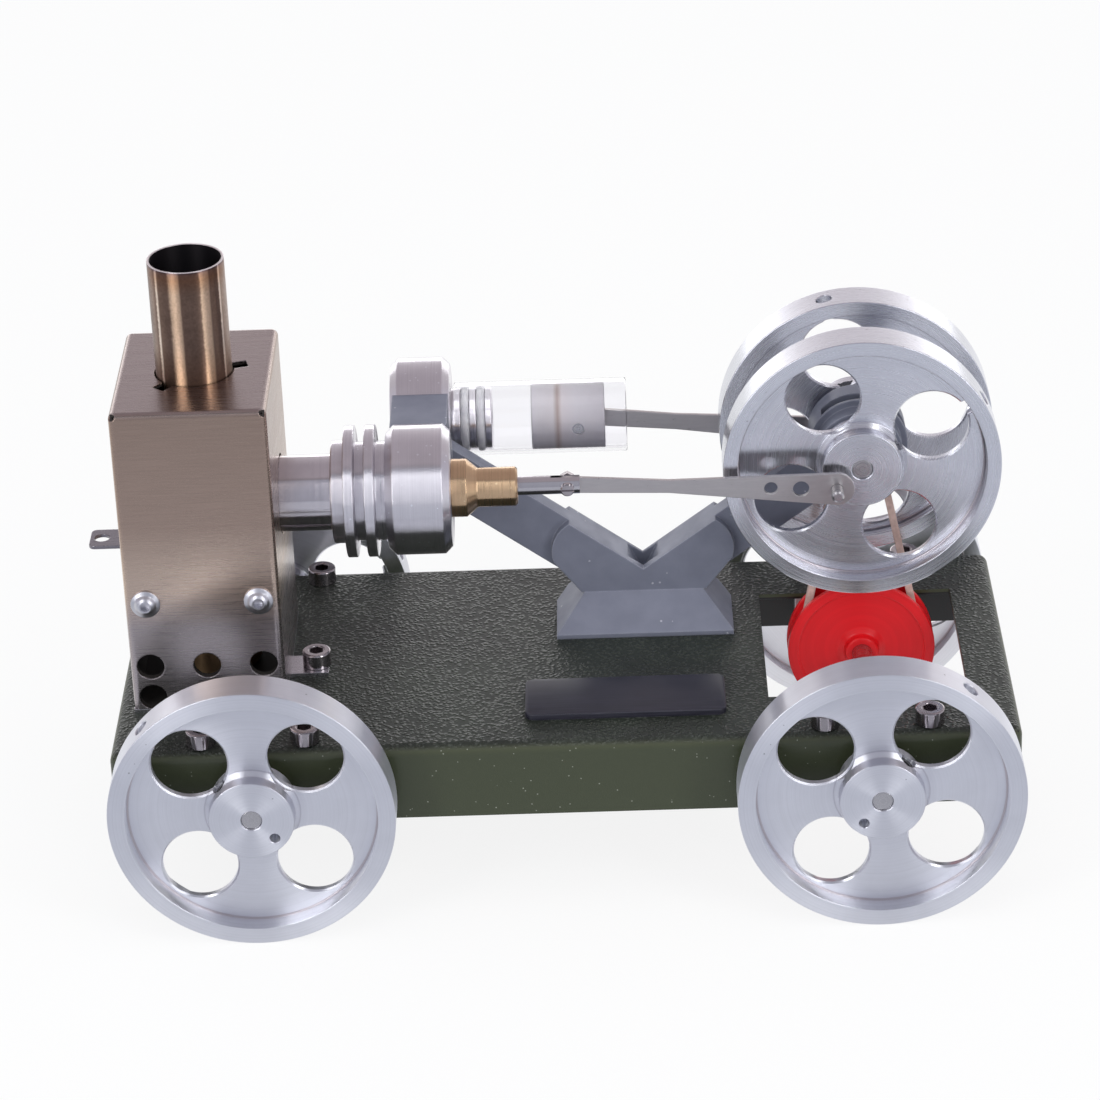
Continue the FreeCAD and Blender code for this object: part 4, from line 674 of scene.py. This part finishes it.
def cutShape(shape, cutters):
    # the shape without the cutters
    whole = looseObject("uncut", shape)
    tools = [looseObject("cutter", cutter) for cutter in cutters]
    for tool in tools:
        cut = whole.modifiers.new("cut", "BOOLEAN")
        cut.operation = "DIFFERENCE"
        cut.solver = "EXACT"
        cut.object = tool
    graph = bpy.context.evaluated_depsgraph_get()
    mesh = bpy.data.meshes.new_from_object(whole.evaluated_get(graph))
    result = bmesh.new()
    result.from_mesh(mesh)
    bpy.data.meshes.remove(mesh)
    for piece in [whole] + tools:
        oldMesh = piece.data
        bpy.data.objects.remove(piece)
        bpy.data.meshes.remove(oldMesh)
    return result


def addPiece(name, shape, body, replaced, sharp=34):
    bmesh.ops.remove_doubles(shape, verts=shape.verts, dist=1e-7)
    for face in shape.faces:
        face.smooth = True
    for edge in shape.edges:
        edge.smooth = edge.calc_face_angle(0) < math.radians(sharp)
    piece = looseObject(name, shape)
    piece.data.materials.append(finishes[replaced])
    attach(piece, body)
    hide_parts(replaced)


def onCircle(x, z, radius, degrees):
    return x + radius * math.cos(math.radians(degrees)), z + radius * math.sin(math.radians(degrees))


# where the axles and the engine's axes lie
freeX, driveX, crankX = -71.0, 77.4, 76.8
axleHeight, crankHeight, powerY, deckTop = 34.0, 90.5, 38.8, 45.0
acrossX, acrossY = (1, 0, 0), (0, 1, 0)

roadWheel = {"radius": 34.0, "rimInner": 29.8, "hub": 10.1, "width": 9.5, "webDepth": 4.3, "web": 2.2,
             "cone": 1.2, "bore": 2.52, "holeCircle": 19.4, "hole": 9.0, "holeChamfer": 0.4, "edge": 0.22,
             "webFillet": 0.5, "drill": 2.02, "pinCircle": 7.2, "pinHole": 1.25, "pinDepth": 5.5}
flywheel = dict(roadWheel, radius=33.7, rimInner=30.1, hub=9.7)


def wheelShape(size, centre, inward, firstHole, keyAngle):
    # centre is the middle of the outer face; inward is +1 or -1 along Y; the pin hole is opposite the key
    x, y, z = centre
    hub, rim, radius, bore = size["hub"], size["rimInner"], size["radius"], size["bore"]
    depth, width, edge, fillet = size["webDepth"], size["width"], size["edge"], size["webFillet"]
    back, way = depth + size["web"], (0, inward, 0)
    wheel = spunShape([
        (0, bore, 0.25), (0, hub, edge), (depth - size["cone"], hub, 0.25), (depth, hub + size["cone"], 0.4),
        (depth, rim, fillet), (0, rim, edge), (0, radius, edge), (width, radius, edge), (width, rim, edge),
        (back, rim, fillet), (back, hub, fillet), (width, hub, edge), (width, bore, 0.25)], centre, way, 160)
    hole, chamfer = size["hole"], size["holeChamfer"]
    wide = hole + chamfer
    holeCorners = [(-1, 0), (-1, wide), (depth, wide), (depth + chamfer, hole), (back - chamfer, hole),
                   (back, wide), (width + 1, wide), (width + 1, 0)]
    cutters = []
    for k in range(4):
        holeX, holeZ = onCircle(x, z, size["holeCircle"], firstHole + 90 * k)
        cutters.append(spunShape(holeCorners, (holeX, y, holeZ), way, 72))
    pinX, pinZ = onCircle(x, z, size["pinCircle"], keyAngle + 180)
    pin, deep, rub = size["pinHole"], size["pinDepth"], 0.12
    pinCorners = [(-1, 0), (-1, pin + rub), (0, pin + rub), (rub, pin), (deep, pin), (deep + 0.6, 0)]
    cutters.append(spunShape(pinCorners, (pinX, y, pinZ), way, 32))
    drill, start, flare = size["drill"], bore + 0.18, 0.5
    drillCorners = [(start, 0), (start, drill), (radius - 0.25, drill), (radius + 0.25, drill + flare),
                    (radius + 1, drill + flare), (radius + 1, 0)]
    reachX, reachZ = onCircle(0, 0, 1, keyAngle)
    cutters.append(spunShape(drillCorners, (x, y + inward * width / 2, z), (reachX, 0, reachZ), 36))
    return cutShape(wheel, cutters)


def makeWheels():
    # name: size, x, y of the outer face, z, inward, first hole, key, body
    rows = {
        "free_wheel_near": (roadWheel, freeX, -59.0, axleHeight, 1, 46.5, 136.5, "free_axle"),
        "free_wheel_far": (roadWheel, freeX, 59.0, axleHeight, -1, 20.0, 20.0, "free_axle"),
        "drive_wheel_near": (roadWheel, driveX, -59.0, axleHeight, 1, 52.5, 52.5, "drive_axle"),
        "drive_wheel_far": (roadWheel, driveX, 59.0, axleHeight, -1, 75.0, 75.0, "drive_axle"),
        "front_flywheel": (flywheel, crankX, 2.7, crankHeight, 1, 28.5, 28.5, "crankshaft"),
        "rear_flywheel": (flywheel, crankX, 36.1, crankHeight, -1, 13.0, 103.0, "crankshaft")}
    for name, (size, x, y, z, inward, first, key, body) in rows.items():
        shape = wheelShape(size, (x, y, z), inward, first, key)
        addPiece(name + "Turned", shape, body, name)


makeWheels()
print("wheels ready")

turnedPieces = {
    # outlines along X, round an axis at the crankshaft's height
    "cooler_flange": {"y": 0, "slot": "polished_steel", "corners": [
        (-51.15, 9.27), (-51.15, 12.5, 0.4), (-47.95, 12.5, 0.2), (-47.95, 16, 0.3), (-45.5, 16, 0.3),
        (-45.5, 12, 0.3), (-42.95, 12, 0.3), (-42.95, 16, 0.3), (-40.5, 16, 0.3), (-40.5, 12, 0.3),
        (-37.95, 12, 0.3), (-37.95, 13.95, 0.3), (-36.15, 15.75, 0.5), (-24.3, 15.75, 0.5),
        (-22.5, 13.95, 0.4), (-22.5, 5.02), (-25.5, 5.02), (-25.5, 8.5), (-38.15, 8.5), (-38.15, 9.27)]},
    "power_cylinder_head": {"y": powerY, "slot": "polished_steel", "corners": [
        (-38.1, 0), (-38.1, 13.95, 0.4), (-36.3, 15.75, 0.5), (-25.2, 15.75, 0.5), (-23.4, 13.95, 0.4),
        (-23.4, 7.75, 0.3), (-21.0, 7.75, 0.15), (-21.0, 5.93), (-18.7, 5.93), (-18.7, 7.75, 0.15),
        (-17.1, 7.75, 0.15), (-17.1, 5.93), (-14.8, 5.93), (-14.8, 7.75, 0.15), (-13.2, 7.75, 0.3),
        (-13.2, 2.0, 0.25), (-30.2, 2.0), (-30.2, 0)]},
    "hot_tube": {"y": 0, "slot": "polished_steel", "corners": [
        (-91.2, 0), (-91.2, 9.25, 1.5), (-38.65, 9.25), (-38.65, 8.5), (-90.45, 8.5, 0.6), (-90.45, 0)]},
    "guide_bush": {"y": 0, "slot": "brass", "corners": [
        (-25.5, 2.3), (-25.5, 5.0), (-22.5, 5.0), (-22.5, 7.05, 0.15), (-18.85, 7.05, 0.5),
        (-16.25, 4.75, 0.8), (-7.1, 4.75, 0.25), (-6.6, 4.25, 0.2), (-6.6, 2.3, 0.2)]},
    "glass_cylinder": {"y": powerY, "slot": "clear_glass", "corners": [
        (-22.5, 8.2, 0.35), (-22.5, 9.2, 0.35), (20.3, 9.2, 0.4), (20.3, 8.2, 0.4)]}}


def makeTurnedPieces():
    for name, row in turnedPieces.items():
        shape = spunShape(row["corners"], (0, row["y"], crankHeight), acrossX, 128)
        addPiece(name + "Turned", shape, "chassis_and_engine", name)


def makePiston():
    size = {"left": -3.4, "right": 14.9, "radius": 8.15, "bore": 6.85, "crown": 5.0, "pinX": 8.2, "pinHole": 1.52}
    left, right, radius, bore = size["left"], size["right"], size["radius"], size["bore"]
    inner, hole, reach = left + size["crown"], size["pinHole"], radius + 1
    piston = spunShape([(left, 0), (left, radius, 0.4), (right, radius, 0.3), (right, bore, 0.3),
                        (inner, bore, 0.8), (inner, 0)], (0, powerY, crankHeight), acrossX, 112)
    cutter = spunShape([(-reach, 0), (-reach, hole), (reach, hole), (reach, 0)],
                       (size["pinX"], powerY, crankHeight), acrossY, 40)
    addPiece("powerPistonTurned", cutShape(piston, [cutter]), "power_piston", "power_piston")


def makeShafts():
    # name, which is also the body's: x, z, near end, far end
    rows = {"free_axle": (freeX, axleHeight, -58.6, 58.6), "drive_axle": (driveX, axleHeight, -58.6, 58.6),
            "crankshaft": (crankX, crankHeight, 3.1, 35.7)}
    radius, edge = 2.5, 0.3
    for name, (x, z, near, far) in rows.items():
        corners = [(near, 0), (near, radius, edge), (far, radius, edge), (far, 0)]
        addPiece(name + "Ground", spunShape(corners, (x, 0, z), acrossY, 64), name, name)


def makePulley():
    shape = spunShape([
        (-5.6, 2.52), (-5.6, 4.1, 0.6), (-3.6, 4.3, 0.8), (-2.8, 6.0, 1.2), (-2.8, 15.8, 0.4), (-3.6, 15.8, 0.25),
        (-3.6, 18.4, 0.3), (-2.1, 18.4, 0.25), (-1.5, 13.8, 0.3), (1.5, 13.8, 0.3), (2.1, 18.4, 0.25),
        (3.6, 18.4, 0.3), (3.6, 15.8, 0.25), (2.8, 15.8, 0.4), (2.8, 6.0, 0.6), (3.6, 4.3, 0.3),
        (3.6, 2.52)], (driveX, 19.4, axleHeight), acrossY, 128)
    addPiece("drivenPulleyMoulded", shape, "drive_axle", "driven_pulley")


def hexCutter(centre, axis, reach, length):
    # a six-sided prism from centre, here in metres, along the axis, its corners at reach
    shape = bmesh.new()
    bmesh.ops.create_cone(shape, cap_ends=True, segments=6, radius1=reach * mm, radius2=reach * mm,
                          depth=length * mm)
    bmesh.ops.translate(shape, verts=shape.verts, vec=(0, 0, length / 2 * mm))
    turn = Vector((0, 0, 1)).rotation_difference(Vector(axis)).to_matrix()
    bmesh.ops.transform(shape, matrix=Matrix.Translation(centre) @ turn.to_4x4(), verts=shape.verts)
    return shape


def screwShape(corners, depth, reach, top, centre, axis):
    # a turned screw with a hexagon socket of that depth under its top
    start = (Vector(centre) + Vector(axis) * (top - depth)) * mm
    return cutShape(spunShape(corners, centre, axis, 48), [hexCutter(start, axis, reach, depth + 1)])


def gathered(shapes):
    whole = bmesh.new()
    for shape in shapes:
        mesh = bpy.data.meshes.new("part")
        shape.to_mesh(mesh)
        shape.free()
        whole.from_mesh(mesh)
        bpy.data.meshes.remove(mesh)
    return whole


def makeScrews():
    cap = {"shank": 2.0, "head": 3.5, "height": 4.0, "keyReach": 1.85, "keyDepth": 2.6, "dish": 0.2}
    button = {"height": 2.02, "keyReach": 1.15, "keyDepth": 1.7}
    height, floor = cap["height"], cap["height"] - cap["dish"]
    base = "chassis_and_engine"

    def capScrew(x, y, seat, length):
        corners = [(-length, 0), (-length, cap["shank"], 0.4), (0, cap["shank"]), (0, cap["head"], 0.15),
                   (height, cap["head"], 0.5), (height, 2.05, 0.15), (floor, 1.9, 0.05), (floor, 0)]
        return screwShape(corners, cap["keyDepth"], cap["keyReach"], height, (x, y, seat), (0, 0, 1))

    places = [(x + across, side * 40.98) for x in (freeX, driveX) for side in (-1, 1) for across in (-12.4, 12.4)]
    shapes = [capScrew(x, y, deckTop, 11.5) for x, y in places]
    addPiece("deckCapScrews", gathered(shapes), base, "axle_block_screws")
    middle = boxMiddle("tray_screw") / mm
    addPiece("trayCapScrew", capScrew(middle.x, middle.y, 46.0, 6.0), base, "tray_screw")
    top = button["height"]
    corners = [(-6.0, 0), (-6.0, 1.5, 0.3), (0.02, 1.5), (0.02, 3.55, 0.12), (0.47, 3.55, 0.3), (0.92, 2.65, 0.25),
               (1.58, 2.1, 0.5), (top, 1.49, 0.3), (top, 0)]
    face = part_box("cover_screws")[0].y / mm + top
    z = boxMiddle("cover_screws").z / mm
    shapes = [screwShape(corners, button["keyDepth"], button["keyReach"], top, (x, face, z), (0, -1, 0))
              for x in (-95.7, -68.7)]
    addPiece("coverButtonScrews", gathered(shapes), base, "cover_screws")


def bevelEdges(shape, edges, width, segments, clamp=False):
    bmesh.ops.bevel(shape, geom=edges, offset=width * mm, affect="EDGES", segments=segments, profile=0.5,
                    material=-1, clamp_overlap=clamp)


def makeNamePlate():
    size = {"corner": 2.2, "edge": 0.35}
    low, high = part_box("name_plate")
    shape = bmesh.new()
    bmesh.ops.create_cube(shape, size=1.0)
    bmesh.ops.scale(shape, vec=high - low, verts=shape.verts)
    bmesh.ops.translate(shape, vec=(low + high) / 2, verts=shape.verts)
    upright = [e for e in shape.edges if abs(e.verts[0].co.z - e.verts[1].co.z) > 0.5 * mm]
    bevelEdges(shape, upright, size["corner"], 8)
    rim = [e for e in shape.edges if min(v.co.z for v in e.verts) > high.z - 0.01 * mm]
    bevelEdges(shape, rim, size["edge"], 3)
    addPiece("bareNamePlate", shape, "chassis_and_engine", "name_plate", 20)


def softenedCopy(name, pieceName, body, width):
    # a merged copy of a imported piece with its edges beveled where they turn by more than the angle
    angle = 40
    shape = bmesh.new()
    shape.from_mesh(nodes[name].data)
    bmesh.ops.remove_doubles(shape, verts=shape.verts, dist=1e-6)
    bmesh.ops.dissolve_limit(shape, angle_limit=math.radians(0.6), verts=shape.verts, edges=shape.edges,
                             use_dissolve_boundaries=False)
    edges = [e for e in shape.edges if e.is_manifold and e.calc_face_angle(0) > math.radians(angle)]
    bevelEdges(shape, edges, width, 2, True)
    addPiece(pieceName, shape, body, name, 20)


makeTurnedPieces()
makePiston()
makeShafts()
makePulley()
makeScrews()
makeNamePlate()
softenedCopy("displacer_rod", "displacerRodBeveled", "displacer_rod", 0.16)
softenedCopy("power_rod", "powerRodBeveled", "power_rod", 0.16)
softenedCopy("damper_slide", "damperSlideBeveled", "damper", 0.15)
print("remade pieces ready")


def makeCamera():
    view = {"place": (17.25 * mm, -875.13 * mm, 522.48 * mm), "yaw": -1.090, "pitch": 27.190, "roll": -2.289,
            "focalPixels": 4043.2, "pictureWidth": 1100, "sensor": 36.0}
    yaw, pitch, roll = (math.radians(view[key]) for key in ("yaw", "pitch", "roll"))
    ahead = Vector((math.sin(yaw) * math.cos(pitch), math.cos(yaw) * math.cos(pitch), -math.sin(pitch)))
    right = Vector((math.cos(yaw), -math.sin(yaw), 0))
    down = -right.cross(ahead)
    turnedRight = right * math.cos(roll) - down * math.sin(roll)
    turnedDown = right * math.sin(roll) + down * math.cos(roll)
    rotation = Matrix((turnedRight, -turnedDown, -ahead)).transposed()
    data = bpy.data.cameras.new("camera")
    data.sensor_width = view["sensor"]
    data.lens = view["focalPixels"] / view["pictureWidth"] * view["sensor"]
    data.clip_start = 0.05
    camera = addObject("camera", data)
    camera.matrix_world = Matrix.Translation(view["place"]) @ rotation.to_4x4()
    bpy.context.scene.camera = camera


def makeFloor():
    # white paper to the eye; in metal it shows white behind the object and a blue-grey shade before it
    look = {"size": 8.0, "color": (0.88, 0.88, 0.88), "glow": 0.86, "ahead": (0.50, 0.52, 0.60),
            "dimAt": -0.14, "whiteAt": 0.06}
    white = (1.0, 1.0, 1.0)
    shape = bmesh.new()
    bmesh.ops.create_grid(shape, x_segments=1, y_segments=1, size=look["size"] / 2)
    bmesh.ops.translate(shape, verts=shape.verts, vec=(0, 0, -0.05 * mm))
    floor = looseObject("floor", shape)
    material, tree, shader = startMaterial("floorPaper")
    shader.inputs["Base Color"].default_value = (*look["color"], 1)
    shader.inputs["Roughness"].default_value = 1.0
    shader.inputs["Specular IOR Level"].default_value = 0.0
    path = addNode(tree, "ShaderNodeLightPath")
    y = splitPlace(tree, objectPlace(tree))[1]
    mirrored = mixColor(tree, rangeNode(tree, y, look["dimAt"], look["whiteAt"], 0, 1, True), look["ahead"], white)
    glow = addNode(tree, "ShaderNodeEmission")
    feed(tree, mixColor(tree, path.outputs["Is Glossy Ray"], white, mirrored), glow.inputs["Color"])
    seen = mathNode(tree, "MAXIMUM", path.outputs["Is Camera Ray"], path.outputs["Is Glossy Ray"])
    seen = mathNode(tree, "MAXIMUM", seen, path.outputs["Is Transmission Ray"])
    mixed = addNode(tree, "ShaderNodeMixShader")
    feed(tree, times(tree, seen, look["glow"]), mixed.inputs[0])
    feed(tree, shader.outputs[0], mixed.inputs[1])
    feed(tree, glow.outputs[0], mixed.inputs[2])
    feed(tree, mixed.outputs[0], tree.nodes["Material Output"].inputs["Surface"])
    floor.data.materials.append(material)


def makeWorld():
    # white to the camera and through glass; metal sees a dim room in front, a warm ceiling, a white wall behind
    look = {"fill": (0.52, 0.53, 0.56), "fillAhead": (0.92, 0.93, 0.97), "front": (0.40, 0.41, 0.48),
            "band": (0.26, 0.235, 0.25), "ceiling": (0.43, 0.385, 0.42), "high": (0.58, 0.53, 0.565),
            "wall": (1.0, 1.0, 1.0), "sides": (0.62, 0.60, 0.68)}
    world = bpy.data.worlds.new("studio")
    bpy.context.scene.world = world
    world.use_nodes = True
    tree = world.node_tree
    coords = addNode(tree, "ShaderNodeTexCoord")
    x, y, z = splitPlace(tree, coords.outputs["Generated"])
    # turn over the top: 0 is level towards the camera, 0.5 straight up, 1 level behind the object
    turn = mathNode(tree, "ARCTAN2", z, times(tree, y, -1.0))
    over = rangeNode(tree, turn, 0.0, math.pi, 0, 1)
    stops = ((0.0, "front"), (0.35, "front"), (0.362, "band"), (0.40, "ceiling"), (0.65, "ceiling"),
             (0.85, "high"), (0.935, "high"), (0.95, "wall"), (1.0, "wall"))
    room = rampNode(tree, over, [(place, look[key]) for place, key in stops])
    below = mathNode(tree, "LESS_THAN", z, 0.0)
    room = mixColor(tree, below, room, mixColor(tree, mathNode(tree, "GREATER_THAN", y, 0.0),
                                                look["front"], look["wall"]))
    toSide = rangeNode(tree, mathNode(tree, "ABSOLUTE", x), 0.75, 0.95, 0, 1, True)
    room = mixColor(tree, toSide, room, look["sides"])
    path = addNode(tree, "ShaderNodeLightPath")
    fill = mixColor(tree, rangeNode(tree, y, -0.7, 0.1, 1, 0, True), look["fill"], look["fillAhead"])
    lit = mixColor(tree, path.outputs["Is Glossy Ray"], fill, room)
    seen = mathNode(tree, "MAXIMUM", path.outputs["Is Camera Ray"], path.outputs["Is Transmission Ray"])
    feed(tree, mixColor(tree, seen, lit, (1.0, 1.0, 1.0)), tree.nodes["Background"].inputs["Color"])


lamps = {
    "overhead": {"size": (1.2, 0.9), "place": (0.0, -0.25, 1.5), "power": 4.0, "mirrored": False},
    "leftStrip": {"size": (0.34, 1.3), "place": (-0.76, -0.95, 0.62), "power": 5.2, "mirrored": True},
    "rightStrip": {"size": (0.34, 1.3), "place": (0.82, -0.89, 0.62), "power": 5.0, "mirrored": True},
    "backSheet": {"size": (2.2, 0.42), "place": (0.0, 1.5, 0.30), "power": 4.2, "mirrored": True}}


def makeLamps():
    for name, lamp in lamps.items():
        data = bpy.data.lights.new(name, "AREA")
        data.shape = "RECTANGLE"
        data.size, data.size_y = lamp["size"]
        data.energy = lamp["power"]
        light = addObject(name, data)
        light.visible_glossy = lamp["mirrored"]
        place = Vector(lamp["place"])
        aim = Vector((0, 0, 0.07)) - place
        light.matrix_world = Matrix.Translation(place) @ aim.to_track_quat("-Z", "Y").to_matrix().to_4x4()


makeCamera()
makeFloor()
makeWorld()
makeLamps()
bpy.context.scene.view_settings.view_transform = "Standard"
print("camera, floor and lamps ready")
